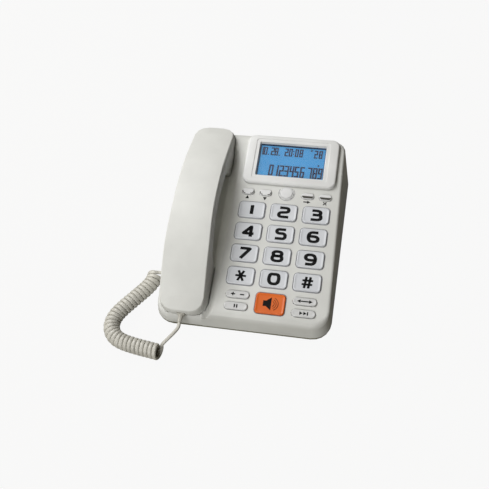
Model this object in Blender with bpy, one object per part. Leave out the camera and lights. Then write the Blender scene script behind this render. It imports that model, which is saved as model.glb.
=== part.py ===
"""Corded desk telephone: large-key deck, tilted display, arched handset and curly cord.

Units are metres, +Z is up and the origin is on the table under the middle of the base.
The deck frame is tilted with the deck and sits at the middle of the dial keys: its x runs
right, its y up the slope and its z out of the deck. Keys, display and handset are set out in it.
"""
import math

import bmesh
import bpy
from mathutils import Matrix, Vector

# Fits
SEAT_GAP = 0.0003
SLIDE_GAP = 0.00035
CRADLE_CLEARANCE = 0.0010
KEY_GAP = 0.0006

# Dial keys and their neighbours on the deck
COLUMN_PITCH = 0.033
ROW_PITCH = 0.0245
KEY_WIDTH = 0.0268
KEY_LENGTH = 0.0180
KEY_RADIUS = 0.0035
KEY_PROUD = 0.0014
KEY_ROUND = 0.0010
KEY_FLANGE = 0.0010
FLANGE_THICKNESS = 0.0012
KEY_TRAVEL = 0.0016
SPEAKER_KEY_WIDTH = 0.029
SPEAKER_KEY_LENGTH = 0.021
SPEAKER_KEY_GAP = 0.0062
SMALL_KEY_WIDTH = 0.0233
SMALL_KEY_LENGTH = 0.0075
SMALL_KEY_PITCH = 0.0121
OVAL_KEY_WIDTH = 0.0129
OVAL_KEY_LENGTH = 0.0066
OVAL_KEY_INNER = 0.0219
OVAL_KEY_OUTER = 0.0402
CONTROL_RISE = 0.02115
ROUND_KEY_WIDTH = 0.0146
ROUND_KEY_RISE = 0.0014

# Display
PANEL_WIDTH = 0.0980
PANEL_LENGTH = 0.0583
PANEL_RISE = 0.0036
PANEL_ROUND = 0.0022
PANEL_RADIUS = 0.008
PANEL_STEP = 0.0005
PANEL_STEP_WIDTH = 0.0045
PANEL_GAP = 0.0098
VIEW_WIDTH = 0.070
VIEW_LENGTH = 0.039
VIEW_RISE = 0.0296
VIEW_BEVEL = 0.0008
WINDOW_LEDGE = 0.002
WINDOW_THICKNESS = 0.0015

# Handset
HANDSET_LENGTH = 0.2127
HANDSET_WIDTH = 0.043
MOUTH_WIDENING = 0.0015
HANDSET_CORNER = 0.014
HANDSET_WALL = 0.002
ARCH_RISE = 0.032
ARCH_DROP = 0.0322
ARCH_STRAIGHT = 0.03635
CROWN_RISE = 0.0030
CROWN_RUN = 0.0015
CROWN_SWELL = 0.0010
SWELL_INSET = 0.013
PARTING_DROP = 0.0015
GRIP_DEPTH = 0.017
CUP_FACE = -0.011
CUP_LENGTH = 0.052
CUP_RAMP = 0.005
CUP_FLARE = 0.00125
FLARE_LENGTH = 0.060
CUP_ROUND = 0.006
HANDSET_FRONT = 0.0812
HANDSET_LIFT = 0.060
EAR_HOLE_CIRCLE = 0.0065
MOUTH_HOLE_CIRCLE = 0.004
RECEIVER_WIDTH = 0.030
RECEIVER_FACE = 0.028
RECEIVER_BACK = 0.022
RECEIVER_RIM = 0.003
RECEIVER_DEPTH = 0.008
MICROPHONE_WIDTH = 0.0097
MICROPHONE_DEPTH = 0.0067
WEIGHT_WIDTH = 0.022
WEIGHT_LENGTH = 0.050
WEIGHT_THICKNESS = 0.006
SLEEVE_WALL = 0.001

# Base case
DECK_TILT = math.radians(10.0)
DECK_HEIGHT = 0.040
CASE_WALL = 0.0022
WALL_DRAFT = 0.10
CORNER_RADIUS = 0.019
FRONT_ROUND = 0.009
SIDE_ROUND = 0.003
BACK_ROUND = 0.005
LIP_ROUND = 0.010
FOOT_HEIGHT = 0.0025
PARTING_HEIGHT = 0.0065
LOWER_UNDERCUT = 0.0008
RIGHT_MARGIN = 0.01375
FRONT_MARGIN = 0.00865
BACK_MARGIN = 0.0059
PLATEAU_MARGIN = 0.0060
CRADLE_GAP = 0.0121
HANDSET_MARGIN = 0.00835
CRADLE_DROP = 0.008
CRADLE_SLOPE = 0.014
CRADLE_CORNER = 0.012
CRADLE_BACK = 0.105
CRADLE_STEP = 0.00025

# Inside the base
MAT_THICKNESS = 0.0012
MAT_DOME = 0.0022
DOME_WIDTH = 0.005
BOARD_WIDTH = 0.0946
BOARD_THICKNESS = 0.0016
BOSS_WIDTH = 0.0042
SCREW_POST_WIDTH = 0.007
SCREW_POST_INSET = 0.0090
POST_SPLIT = 0.010
SCREW_WIDTH = 0.0028
SCREW_HEAD_WIDTH = 0.0054
SCREW_HEAD_DEPTH = 0.0015
SCREW_BITE = 0.0030
FOOT_WIDTH = 0.012
FOOT_INSET = 0.024
FOOT_SINK = 0.0008
HOOK_WIDTH = 0.012
HOOK_LENGTH = 0.008
HOOK_FLANGE = 0.003
HOOK_THICKNESS = 0.0015
HOOK_TRAVEL = 0.005
HOOK_ALONG = 0.063
HOOK_PIN_WIDTH = 0.004
HOOK_PIN_LENGTH = 0.009
SPRING_LENGTH = 0.012
SPRING_WIDTH = 0.0085
SPRING_WIRE = 0.0008
SPRING_TURNS = 5
SWITCH_SIZE = (0.018, 0.014, 0.007)
SPEAKER_WIDTH = 0.050
SPEAKER_HEIGHT = 0.018
SPEAKER_ALONG = 0.004
CELL_WIDTH = 0.0105
CELL_LENGTH = 0.0445
CELL_PITCH = 0.0124
CELL_COUNT = 3
BATTERY_RIGHT = 0.020
BATTERY_BACK = 0.069
BATTERY_WALL = 0.0016
BATTERY_END = 0.005
DOOR_THICKNESS = 0.0019
SOUND_HOLE = 0.0024

# Sockets, plugs and cord
PLUG_WIDTH = 0.0077
PLUG_HEIGHT = 0.0064
PLUG_INSIDE = 0.0095
PLUG_OUTSIDE = 0.0005
BOOT_LENGTH = 0.0085
BOOT_WIDTH = 0.0056
JACK_WALL = 0.0010
JACK_DEPTH = 0.0125
HANDSET_JACK_LEVEL = -0.0040
LINE_PLUG_WIDTH = 0.0098
LINE_JACK_LEFT = 0.014
CORD_JACK_FRONT = 0.05105
CORD_JACK_HEIGHT = 0.0135
BASE_BOOT_LENGTH = 0.0030
CORD_DIAMETER = 0.0034
COIL_RADIUS = 0.0067
CURL_GAP = 0.0007
POINTS_PER_CURL = 8
COIL_ROUTE = [
    (-0.0990, -0.0570),
    (-0.1003, -0.0652),
    (-0.1046, -0.0736),
    (-0.1100, -0.0815),
    (-0.1155, -0.0893),
    (-0.1212, -0.0975),
    (-0.1262, -0.1060),
    (-0.1286, -0.1143),
    (-0.1276, -0.1230),
    (-0.1222, -0.1308),
    (-0.1130, -0.1356),
    (-0.0990, -0.1386),
    (-0.0860, -0.1404),
    (-0.0740, -0.1420),
]

# Places worked out from the sizes above
TOP_ROW = 1.5 * ROW_PITCH
SPEAKER_ROW = -(TOP_ROW + KEY_LENGTH / 2 + SPEAKER_KEY_GAP + SPEAKER_KEY_LENGTH / 2)
CONTROL_ROW = TOP_ROW + CONTROL_RISE
PANEL_BOTTOM = CONTROL_ROW + PANEL_GAP
PANEL_ROW = PANEL_BOTTOM + PANEL_LENGTH / 2
VIEW_ROW = PANEL_BOTTOM + VIEW_RISE
KEYPAD_RIGHT = COLUMN_PITCH + KEY_WIDTH / 2 + RIGHT_MARGIN
KEYPAD_FRONT = SPEAKER_KEY_LENGTH / 2 - SPEAKER_ROW + FRONT_MARGIN
KEYPAD_BACK = PANEL_BOTTOM + PANEL_LENGTH + BACK_MARGIN
PLATEAU_EDGE = COLUMN_PITCH + KEY_WIDTH / 2 + PLATEAU_MARGIN
HANDSET_OFFSET = PLATEAU_EDGE + CRADLE_GAP + HANDSET_WIDTH / 2
KEYPAD_LEFT = HANDSET_OFFSET + HANDSET_WIDTH / 2 + HANDSET_MARGIN
BASE_WIDTH = KEYPAD_LEFT + KEYPAD_RIGHT
BASE_DEPTH = KEYPAD_FRONT + KEYPAD_BACK
KEYPAD_X = BASE_WIDTH / 2 - KEYPAD_RIGHT
KEYPAD_Y = KEYPAD_FRONT - BASE_DEPTH / 2
HANDSET_X = KEYPAD_X - HANDSET_OFFSET
HANDSET_MIDDLE = HANDSET_LENGTH / 2 - HANDSET_FRONT
FLANGE_TOP = -CASE_WALL - SEAT_GAP
FLANGE_BOTTOM = FLANGE_TOP - FLANGE_THICKNESS
DOME_TOP = FLANGE_BOTTOM - SEAT_GAP
MAT_TOP = DOME_TOP - MAT_DOME
MAT_BOTTOM = MAT_TOP - MAT_THICKNESS
BOARD_TOP = MAT_BOTTOM - SEAT_GAP
BOARD_BOTTOM = BOARD_TOP - BOARD_THICKNESS
FLOOR_TOP = FOOT_HEIGHT + CASE_WALL
WELL_FLOOR = CUP_FACE - SEAT_GAP
HOOK_ROW = HANDSET_MIDDLE + HOOK_ALONG
HOOK_FLANGE_TOP = WELL_FLOOR - CASE_WALL - HOOK_TRAVEL - SEAT_GAP
SPRING_TOP = HOOK_FLANGE_TOP - HOOK_THICKNESS - SEAT_GAP
SWITCH_TOP = SPRING_TOP - SPRING_LENGTH - SEAT_GAP
SWITCH_BOTTOM = SWITCH_TOP - SWITCH_SIZE[2]
HANDSET_JACK_INSET = CUP_ROUND + HANDSET_WALL
JACK_HEIGHT = PARTING_HEIGHT + JACK_WALL + SLIDE_GAP + PLUG_HEIGHT / 2
ARCH_HALF = HANDSET_LENGTH / 2 - ARCH_STRAIGHT
ARCH_RADIUS = ARCH_HALF * (ARCH_HALF / 2 + ARCH_STRAIGHT) / ARCH_DROP
FAR = 0.30

DIAL_ROWS = (
    ("key_1", "key_2", "key_3"),
    ("key_4", "key_5", "key_6"),
    ("key_7", "key_8", "key_9"),
    ("key_star", "key_0", "key_hash"),
)


def key_layout():
    """Name, place on the deck, width, length and corner radius of every key."""
    keys = []
    for row, names in enumerate(DIAL_ROWS):
        for column, name in enumerate(names):
            place = ((column - 1) * COLUMN_PITCH, TOP_ROW - row * ROW_PITCH)
            keys.append((name, place, KEY_WIDTH, KEY_LENGTH, KEY_RADIUS))
    speaker = (0.0, SPEAKER_ROW)
    keys.append(("speaker_key", speaker, SPEAKER_KEY_WIDTH, SPEAKER_KEY_LENGTH, KEY_RADIUS))
    upper = SPEAKER_ROW + SMALL_KEY_PITCH / 2
    lower = SPEAKER_ROW - SMALL_KEY_PITCH / 2
    small = (
        ("volume_key", (-COLUMN_PITCH, upper)),
        ("hold_key", (-COLUMN_PITCH, lower)),
        ("flash_key", (COLUMN_PITCH, upper)),
        ("redial_key", (COLUMN_PITCH, lower)),
    )
    for name, place in small:
        keys.append((name, place, SMALL_KEY_WIDTH, SMALL_KEY_LENGTH, SMALL_KEY_LENGTH / 2))
    oval = (
        ("up_key", -OVAL_KEY_OUTER),
        ("down_key", -OVAL_KEY_INNER),
        ("out_key", OVAL_KEY_INNER),
        ("delete_key", OVAL_KEY_OUTER),
    )
    for name, x in oval:
        keys.append((name, (x, CONTROL_ROW), OVAL_KEY_WIDTH, OVAL_KEY_LENGTH, OVAL_KEY_LENGTH / 2))
    middle = (0.0, CONTROL_ROW + ROUND_KEY_RISE)
    keys.append(("round_key", middle, ROUND_KEY_WIDTH, ROUND_KEY_WIDTH, ROUND_KEY_WIDTH / 2))
    return keys


def make_material(name, colour, roughness, metallic=0.0):
    """A Principled material from an sRGB hex colour."""
    linear = []
    for start in (0, 2, 4):
        channel = int(colour[start:start + 2], 16) / 255
        if channel <= 0.04045:
            linear.append(channel / 12.92)
        else:
            linear.append(((channel + 0.055) / 1.055) ** 2.4)
    material = bpy.data.materials.new(name)
    material.use_nodes = True
    shader = material.node_tree.nodes["Principled BSDF"]
    shader.inputs["Base Color"].default_value = (*linear, 1.0)
    shader.inputs["Roughness"].default_value = roughness
    shader.inputs["Metallic"].default_value = metallic
    return material


def add_frame(name, location, tilt=0.0, parent=None):
    """An empty that carries pieces."""
    frame = bpy.data.objects.new(name, None)
    frame.location = location
    frame.rotation_euler = (tilt, 0.0, 0.0)
    frame.parent = parent
    bpy.context.collection.objects.link(frame)
    return frame


def add_object(name, mesh, parent=None, location=(0.0, 0.0, 0.0), material=None, turn=(0.0, 0.0, 0.0)):
    """Place a mesh or curve as a named piece."""
    piece = bpy.data.objects.new(name, mesh)
    piece.parent = parent
    piece.location = location
    piece.rotation_euler = turn
    if material:
        if not mesh.materials:
            mesh.materials.append(material)
    bpy.context.collection.objects.link(piece)
    return piece


def add_tool(name, mesh, parent=None, location=(0.0, 0.0, 0.0), turn=(0.0, 0.0, 0.0)):
    """A cutter or a shape to be joined on, which is not a piece itself."""
    tool = add_object(name, mesh, parent, location, None, turn)
    tool.hide_render = True
    tool.display_type = "WIRE"
    return tool


def boolean(piece, tool, operation="DIFFERENCE"):
    """Cut a tool from a piece, or join it on with UNION."""
    modifier = piece.modifiers.new(tool.name, "BOOLEAN")
    modifier.object = tool
    modifier.operation = operation
    modifier.solver = "EXACT"


def loft(name, solids, strip=False, hoop=False):
    """A mesh of closed bodies, each a list of rings of points.

    The end rings are filled, across the middle if strip is set. With hoop set the last ring
    joins the first, as in a frame round an opening.
    """
    work = bmesh.new()
    for rings in solids:
        rows = [[work.verts.new(point) for point in points] for points in rings]
        count = len(rows[0])
        pairs = list(zip(rows, rows[1:]))
        if hoop:
            pairs.append((rows[-1], rows[0]))
        for low, high in pairs:
            for i in range(count):
                j = (i + 1) % count
                work.faces.new((low[i], low[j], high[j], high[i]))
        if hoop:
            continue
        for end in (rows[0], rows[-1]):
            if strip:
                for i in range(count // 2 - 1):
                    work.faces.new((end[i], end[i + 1], end[count - 2 - i], end[count - 1 - i]))
            else:
                work.faces.new(end)
    bmesh.ops.recalc_face_normals(work, faces=work.faces)
    mesh = bpy.data.meshes.new(name)
    work.to_mesh(mesh)
    work.free()
    mesh.shade_smooth()
    mesh.set_sharp_from_angle(angle=math.radians(35.0))
    return mesh


def ring(width, length, radius, level, steps=2, x=0.0, y=0.0):
    """A rounded rectangle, drawn counter-clockwise at one level."""
    points = []
    for turn, (sx, sy) in enumerate(((1, -1), (1, 1), (-1, 1), (-1, -1))):
        corner_x = x + sx * (width / 2 - radius)
        corner_y = y + sy * (length / 2 - radius)
        if radius == 0.0:
            points.append(Vector((corner_x, corner_y, level)))
            continue
        for step in range(steps + 1):
            angle = math.radians(90 * (turn - 1) + 90 * step / steps)
            across = corner_x + radius * math.cos(angle)
            along = corner_y + radius * math.sin(angle)
            points.append(Vector((across, along, level)))
    return points


def circle(width, level, sides=12, x=0.0, y=0.0):
    """A round ring at one level."""
    points = []
    for side in range(sides):
        angle = 2 * math.pi * side / sides
        points.append(Vector((x + width / 2 * math.cos(angle), y + width / 2 * math.sin(angle), level)))
    return points


def block(width, length, low, high, x=0.0, y=0.0):
    """Rings of a plain block."""
    return [ring(width, length, 0.0, low, x=x, y=y), ring(width, length, 0.0, high, x=x, y=y)]


def rod(width, low, high, sides=12, x=0.0, y=0.0):
    """Rings of a plain round rod."""
    return [circle(width, low, sides, x, y), circle(width, high, sides, x, y)]


def deck_point(x, y, z):
    """World place of a point given in the deck frame."""
    turn = Matrix.Rotation(DECK_TILT, 3, "X")
    return turn @ Vector((x, y, z)) + Vector((KEYPAD_X, KEYPAD_Y, DECK_HEIGHT))


def smooth(share):
    """Ease from 0 to 1."""
    share = min(max(share, 0.0), 1.0)
    return share * share * (3 - 2 * share)


def case_rings(inset, drop, rounds, low, arc_steps=4, corner_steps=5):
    """The case's outside: leaning walls up to the deck plane, with a rolled top edge.

    inset moves the walls in, drop lowers the deck, and rounds gives the edge radius at the
    front, right, back and left.
    """
    slope = math.tan(DECK_TILT)
    plane = DECK_HEIGHT - drop / math.cos(DECK_TILT)
    columns = []
    for turn, (sx, sy) in enumerate(((1, -1), (1, 1), (-1, 1), (-1, -1))):
        corner_x = sx * (BASE_WIDTH / 2 - CORNER_RADIUS)
        corner_y = sy * (BASE_DEPTH / 2 - CORNER_RADIUS)
        for step in range(corner_steps + 1):
            angle = math.radians(90 * (turn - 1) + 90 * step / corner_steps)
            out = Vector((math.cos(angle), math.sin(angle), 0.0))
            foot = Vector((corner_x, corner_y, PARTING_HEIGHT)) + out * (CORNER_RADIUS - inset)
            wall = Vector((-out.x * WALL_DRAFT, -out.y * WALL_DRAFT, 1.0))
            rise = plane + (foot.y - KEYPAD_Y) * slope - PARTING_HEIGHT
            edge = foot + wall * (rise / (1 - wall.y * slope))
            down = -wall.normalized()
            along = Vector((-out.x, -out.y, -out.y * slope)).normalized()
            radius = rounds[turn] + (rounds[(turn + 1) % 4] - rounds[turn]) * smooth(step / corner_steps)
            half = down.angle(along) / 2
            centre = edge + (down + along).normalized() * (radius / math.sin(half))
            first = edge + down * (radius / math.tan(half)) - centre
            last = edge + along * (radius / math.tan(half)) - centre
            sweep = first.angle(last)
            column = [foot + wall * (low - PARTING_HEIGHT)]
            for arc in range(arc_steps + 1):
                share = arc / arc_steps
                near = math.sin((1 - share) * sweep) / math.sin(sweep)
                beyond = math.sin(share * sweep) / math.sin(sweep)
                column.append(centre + first * near + last * beyond)
            columns.append(column)
    return [[column[level] for column in columns] for level in range(arc_steps + 2)]


def cradle_rings(shift, sink, steps=6):
    """The trough beside the plateau, with an eased slope on its right and back."""
    rings = []
    profile = [(0.0, -FAR)]
    for step in range(steps + 1):
        share = step / steps
        level = (CRADLE_DROP + 0.001) * (smooth(share) - 1) + 0.0005
        profile.append((CRADLE_SLOPE * share, level))
    profile.append((CRADLE_SLOPE + CRADLE_DROP, CRADLE_DROP))
    for out, level in profile:
        right = -PLATEAU_EDGE - CRADLE_SLOPE + out + shift
        back = CRADLE_BACK + out + shift
        radius = CRADLE_CORNER + out + shift
        middle_x = right - FAR / 2
        middle_y = back - FAR / 2
        rings.append(ring(FAR, FAR, radius, level - sink, 3, middle_x, middle_y))
    return rings


def arch(y):
    """Height of the handset's side edge: an arc over the grip, straight on towards the ends."""
    bend = min(abs(y), ARCH_HALF)
    beyond = abs(y) - bend
    return ARCH_RISE - bend * bend / (2 * ARCH_RADIUS) - beyond * ARCH_HALF / ARCH_RADIUS


def handset_ring(inset, level, grow=0.0, flare=0.0):
    """A ring round the handset, from the ear end down the right side and back up the left.

    level gives the height for each place along the handset, grow shifts the cups' inner walls,
    and flare widens the cups.
    """
    half = HANDSET_LENGTH / 2
    radius = max(HANDSET_CORNER - inset, 0.001)
    straight = half - inset - radius
    cup = half - CUP_LENGTH - grow
    middle = [(half - HANDSET_CORNER + cup) / 2, cup, cup - CUP_RAMP]
    middle += [cup * share / 5 for share in (4, 3, 2, 1)]
    right = []
    for step in range(4):
        angle = math.radians(90 - 30 * step)
        right.append((radius * (1 - math.cos(angle)), straight + radius * math.sin(angle)))
    right += [(0.0, y) for y in middle] + [(0.0, 0.0)] + [(0.0, -y) for y in reversed(middle)]
    for step in range(4):
        angle = math.radians(30 * step)
        right.append((radius * (1 - math.cos(angle)), -straight - radius * math.sin(angle)))
    points = []
    for back, y in right:
        mouth = smooth(-y / (half / 2))
        spread = smooth((abs(y) - half + CUP_LENGTH) / FLARE_LENGTH + 0.75)
        widening = MOUTH_WIDENING * mouth + flare * spread
        points.append(Vector((HANDSET_WIDTH / 2 + widening - inset - back, y, level(y))))
    return points + [Vector((-p.x, p.y, p.z)) for p in reversed(points)]


def under_ring(angle, grow):
    """A ring on the handset's underside: 0 degrees on the side wall, 90 on the flat."""
    lean = math.radians(angle)
    cup = HANDSET_LENGTH / 2 - CUP_LENGTH - grow
    sink = SEAT_GAP if grow > 0 else grow

    def level(y):
        grip = arch(y) - GRIP_DEPTH
        ramp = (abs(y) - cup + CUP_RAMP) / CUP_RAMP
        floor = grip + (CUP_FACE - grip) * min(max(ramp, 0.0), 1.0)
        return floor - sink + CUP_ROUND * (1 - math.sin(lean))

    inset = CUP_ROUND * (1 - math.cos(lean)) - grow
    return handset_ring(inset, level, grow, CUP_FLARE)


def parting(y):
    """Height of the line where the two handset shells meet."""
    return arch(y) - PARTING_DROP


def handset_space(name, grow, sink):
    """The room that the handset takes in the base, grown all round and open upwards."""
    rings = [under_ring(angle, grow) for angle in (90, 60, 30, 0)]
    for points in rings:
        for point in points:
            point.z -= sink
    rings.append(handset_ring(-grow, parting))
    rings.append(handset_ring(-grow, lambda y: ARCH_RISE + CROWN_RISE))
    return loft(name, [rings], strip=True)


def key_mesh(name, width, length, radius):
    """A key cap with a flange that keeps it under the deck."""
    wide = width + 2 * KEY_FLANGE
    long = length + 2 * KEY_FLANGE
    skirt = radius + KEY_FLANGE
    top = 2 * KEY_ROUND
    rings = [
        ring(wide, long, skirt, FLANGE_BOTTOM),
        ring(wide, long, skirt, FLANGE_TOP),
        ring(width, length, radius, FLANGE_TOP),
        ring(width, length, radius, KEY_PROUD - KEY_ROUND),
        ring(width - top, length - top, radius - KEY_ROUND, KEY_PROUD),
    ]
    return loft(name, [rings])


def make_keys(deck, materials):
    """Every key at its place, sharing one mesh for each size."""
    meshes = {}
    for name, place, width, length, radius in key_layout():
        kind = "orange" if name == "speaker_key" else "key"
        size = (width, length, kind)
        if size not in meshes:
            meshes[size] = key_mesh(name, width, length, radius)
        add_object(name, meshes[size], deck, (*place, 0.0), materials[kind])


def screw_places():
    """Plan places of the four case screws."""
    x = BASE_WIDTH / 2 - SCREW_POST_INSET
    y = BASE_DEPTH / 2 - SCREW_POST_INSET - CASE_WALL
    return [(-x, -y), (x, -y), (x, y), (-x, y)]


def boss_places():
    """Deck places of the bosses that carry the board."""
    x = BOARD_WIDTH / 2 - BOSS_WIDTH
    front = SPEAKER_ROW - SPEAKER_KEY_LENGTH / 2 - BOSS_WIDTH
    middle = PANEL_BOTTOM - BOSS_WIDTH / 4
    back = PANEL_BOTTOM + PANEL_LENGTH - 2 * BOSS_WIDTH
    return [(side * x, y) for side in (-1, 1) for y in (front, middle, back)]


def make_upper_case(deck, handset, materials):
    """The top moulding: plateau and rim, lower cradle, hollow inside, with its openings."""
    outer = (FRONT_ROUND, SIDE_ROUND, BACK_ROUND, SIDE_ROUND)
    lower = (LIP_ROUND, SIDE_ROUND, BACK_ROUND, BACK_ROUND)
    inner = tuple(max(radius - CASE_WALL, 0.001) for radius in outer)
    inner_lower = tuple(max(radius - CASE_WALL, 0.001) for radius in lower)
    case = add_object("upper_case", loft("upper_case", [case_rings(0.0, 0.0, outer, -0.010)]),
                      material=materials["cream"])
    trough = add_tool("trough", loft("trough", [cradle_rings(0.0, 0.0)]), deck)
    low_deck = add_tool("low_deck", loft("low_deck", [case_rings(CRADLE_STEP, CRADLE_DROP, lower, -0.008)]))
    boolean(case, trough)
    boolean(case, low_deck, "UNION")
    boolean(case, add_tool("handset_room", handset_space("handset_room", CRADLE_CLEARANCE, 0.0), handset))

    cavity = add_tool("cavity", loft("cavity", [case_rings(CASE_WALL, CASE_WALL, inner, -0.020)]))
    boolean(cavity, add_tool("trough_back", loft("trough_back", [cradle_rings(CASE_WALL / 2, CASE_WALL)]), deck))
    low_rings = case_rings(CASE_WALL + CRADLE_STEP, CRADLE_DROP + CASE_WALL, inner_lower, -0.018)
    boolean(cavity, add_tool("low_cavity", loft("low_cavity", [low_rings])), "UNION")
    room = handset_space("handset_back_room", CRADLE_CLEARANCE + CASE_WALL, CASE_WALL)
    boolean(cavity, add_tool("handset_back_room", room, handset))
    posts = [rod(SCREW_POST_WIDTH, POST_SPLIT, FAR, 10, x, y) for x, y in screw_places()]
    boolean(cavity, add_tool("case_posts", loft("case_posts", posts)))
    bosses = [rod(BOSS_WIDTH, BOARD_TOP + SEAT_GAP, FAR, 8, x, y) for x, y in boss_places()]
    boolean(cavity, add_tool("board_bosses", loft("board_bosses", bosses), deck))
    boolean(case, cavity)

    gap = 2 * SLIDE_GAP
    holes = []
    for _, place, width, length, radius in key_layout():
        size = (width + 2 * KEY_GAP, length + 2 * KEY_GAP, radius + KEY_GAP)
        holes.append([ring(*size, -2 * CASE_WALL, x=place[0], y=place[1]),
                      ring(*size, CASE_WALL, x=place[0], y=place[1])])
    view_width = VIEW_WIDTH + 2 * WINDOW_LEDGE + gap
    view_length = VIEW_LENGTH + 2 * WINDOW_LEDGE + gap
    holes.append(block(view_width, view_length, -2 * CASE_WALL, CASE_WALL, y=VIEW_ROW))
    hook = (HOOK_WIDTH + gap, HOOK_LENGTH + gap, 0.0)
    holes.append([ring(*hook, level, x=-HANDSET_OFFSET, y=HOOK_ROW)
                  for level in (WELL_FLOOR - 2 * CASE_WALL, WELL_FLOOR + CASE_WALL)])
    boolean(case, add_tool("deck_holes", loft("deck_holes", holes), deck))

    pilots = [rod(SCREW_WIDTH + gap, 0.0, POST_SPLIT + SCREW_BITE + SEAT_GAP, 8, x, y)
              for x, y in screw_places()]
    pilots.append(block(FAR, FAR, -FAR, PARTING_HEIGHT))
    for x, y in screw_places():
        pilots.append(rod(SCREW_POST_WIDTH + 4 * SEAT_GAP, 0.0, POST_SPLIT, 10, x, y))
    for pilot in range(4):
        boolean(case, add_tool("pilot_%d" % (pilot + 1), loft("pilot", [pilots[pilot]])))
        boolean(case, add_tool("post_room_%d" % (pilot + 1), loft("post_room", [pilots[pilot + 5]])))
    boolean(case, add_tool("case_parting", loft("case_parting", [pilots[4]])))
    boolean(case, add_tool("line_mouth", jack_block(LINE_PLUG_WIDTH, SLIDE_GAP, 0.01), *line_jack_place()))
    boolean(case, add_tool("cord_mouth", plug_room("cord_mouth"), *cord_jack_place()))


def jack_block(plug_width, grow, ahead=0.0):
    """The outside of a socket, its mouth towards its own +Z."""
    width = plug_width + 2 * (SLIDE_GAP + JACK_WALL + grow)
    height = PLUG_HEIGHT + 2 * (SLIDE_GAP + JACK_WALL + grow)
    return loft("jack_block", [block(width, height, -JACK_DEPTH - grow, ahead)])


def plug_room(name):
    """The room for a plug in the wall in front of its socket."""
    width = PLUG_WIDTH + 2 * SLIDE_GAP
    height = PLUG_HEIGHT + 2 * SLIDE_GAP
    return loft(name, [block(width, height, -SEAT_GAP, 0.02)])


def jack_mesh(name, plug_width):
    """A modular socket: a box with a blind mouth at its own +Z end."""
    hole_width = plug_width + 2 * SLIDE_GAP
    hole_height = PLUG_HEIGHT + 2 * SLIDE_GAP
    width = hole_width + 2 * JACK_WALL
    height = hole_height + 2 * JACK_WALL
    rings = [
        ring(width, height, 0.0, -JACK_DEPTH),
        ring(width, height, 0.0, 0.0),
        ring(hole_width, hole_height, 0.0, 0.0),
        ring(hole_width, hole_height, 0.0, -JACK_DEPTH + JACK_WALL),
    ]
    return loft(name, [rings])


def line_jack_place():
    """Parent, place and turn of the line socket in the back wall."""
    wall = BASE_DEPTH / 2 - WALL_DRAFT * (JACK_HEIGHT - PARTING_HEIGHT) - SEAT_GAP
    return None, (KEYPAD_X - LINE_JACK_LEFT, wall, JACK_HEIGHT), (-math.pi / 2, 0.0, 0.0)


def cord_wall():
    """Where the left wall's outside stands at the height of the cord socket."""
    return -BASE_WIDTH / 2 + CRADLE_STEP + WALL_DRAFT * (CORD_JACK_HEIGHT - PARTING_HEIGHT)


def cord_jack_place():
    """Parent, place and turn of the cord socket, which sits against the left wall's inside."""
    half = PLUG_HEIGHT / 2 + SLIDE_GAP + JACK_WALL
    face = cord_wall() + CASE_WALL + WALL_DRAFT * half + SEAT_GAP
    place = (face, -BASE_DEPTH / 2 + CORD_JACK_FRONT, CORD_JACK_HEIGHT)
    return None, place, (math.pi / 2, 0.0, -math.pi / 2)


def handset_jack_place(handset):
    """Parent, place and turn of the socket in the handset's mouth end."""
    place = (0.0, -HANDSET_LENGTH / 2 + HANDSET_JACK_INSET, HANDSET_JACK_LEVEL)
    return handset, place, (math.pi / 2, 0.0, 0.0)


def plug_mesh(name, tip, boot):
    """A modular plug with a tapered boot; tip is how far its body stands out of the socket."""
    rings = [
        ring(PLUG_WIDTH, PLUG_HEIGHT, 0.0005, -PLUG_INSIDE),
        ring(PLUG_WIDTH, PLUG_HEIGHT, 0.0005, tip),
        ring(BOOT_WIDTH, BOOT_WIDTH, BOOT_WIDTH / 2.01, tip + boot / 5),
        ring(CORD_DIAMETER * 1.15, CORD_DIAMETER * 1.15, CORD_DIAMETER * 0.57, tip + boot),
    ]
    return loft(name, [rings])


def make_sockets(handset, materials):
    """Line, cord and handset sockets with the cord's two plugs."""
    add_object("line_jack", jack_mesh("line_jack", LINE_PLUG_WIDTH), line_jack_place()[0],
               line_jack_place()[1], materials["socket"], line_jack_place()[2])
    parent, place, turn = cord_jack_place()
    add_object("cord_jack", jack_mesh("cord_jack", PLUG_WIDTH), parent, place, materials["socket"], turn)
    plug = plug_mesh("base_plug", place[0] - cord_wall() + PLUG_OUTSIDE, BASE_BOOT_LENGTH)
    add_object("base_plug", plug, parent, place, materials["cord"], turn)
    parent, place, turn = handset_jack_place(handset)
    add_object("handset_jack", jack_mesh("handset_jack", PLUG_WIDTH), parent, place, materials["socket"], turn)
    plug = plug_mesh("handset_plug", HANDSET_JACK_INSET + PLUG_OUTSIDE, BOOT_LENGTH)
    add_object("handset_plug", plug, parent, place, materials["cord"], turn)


def battery_place():
    """Plan middle of the battery box."""
    return KEYPAD_X + BATTERY_RIGHT, KEYPAD_Y + BATTERY_BACK


def battery_room():
    """Inside width and length of the battery box."""
    return CELL_PITCH * CELL_COUNT + BATTERY_WALL, CELL_LENGTH + 2 * BATTERY_END


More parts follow.
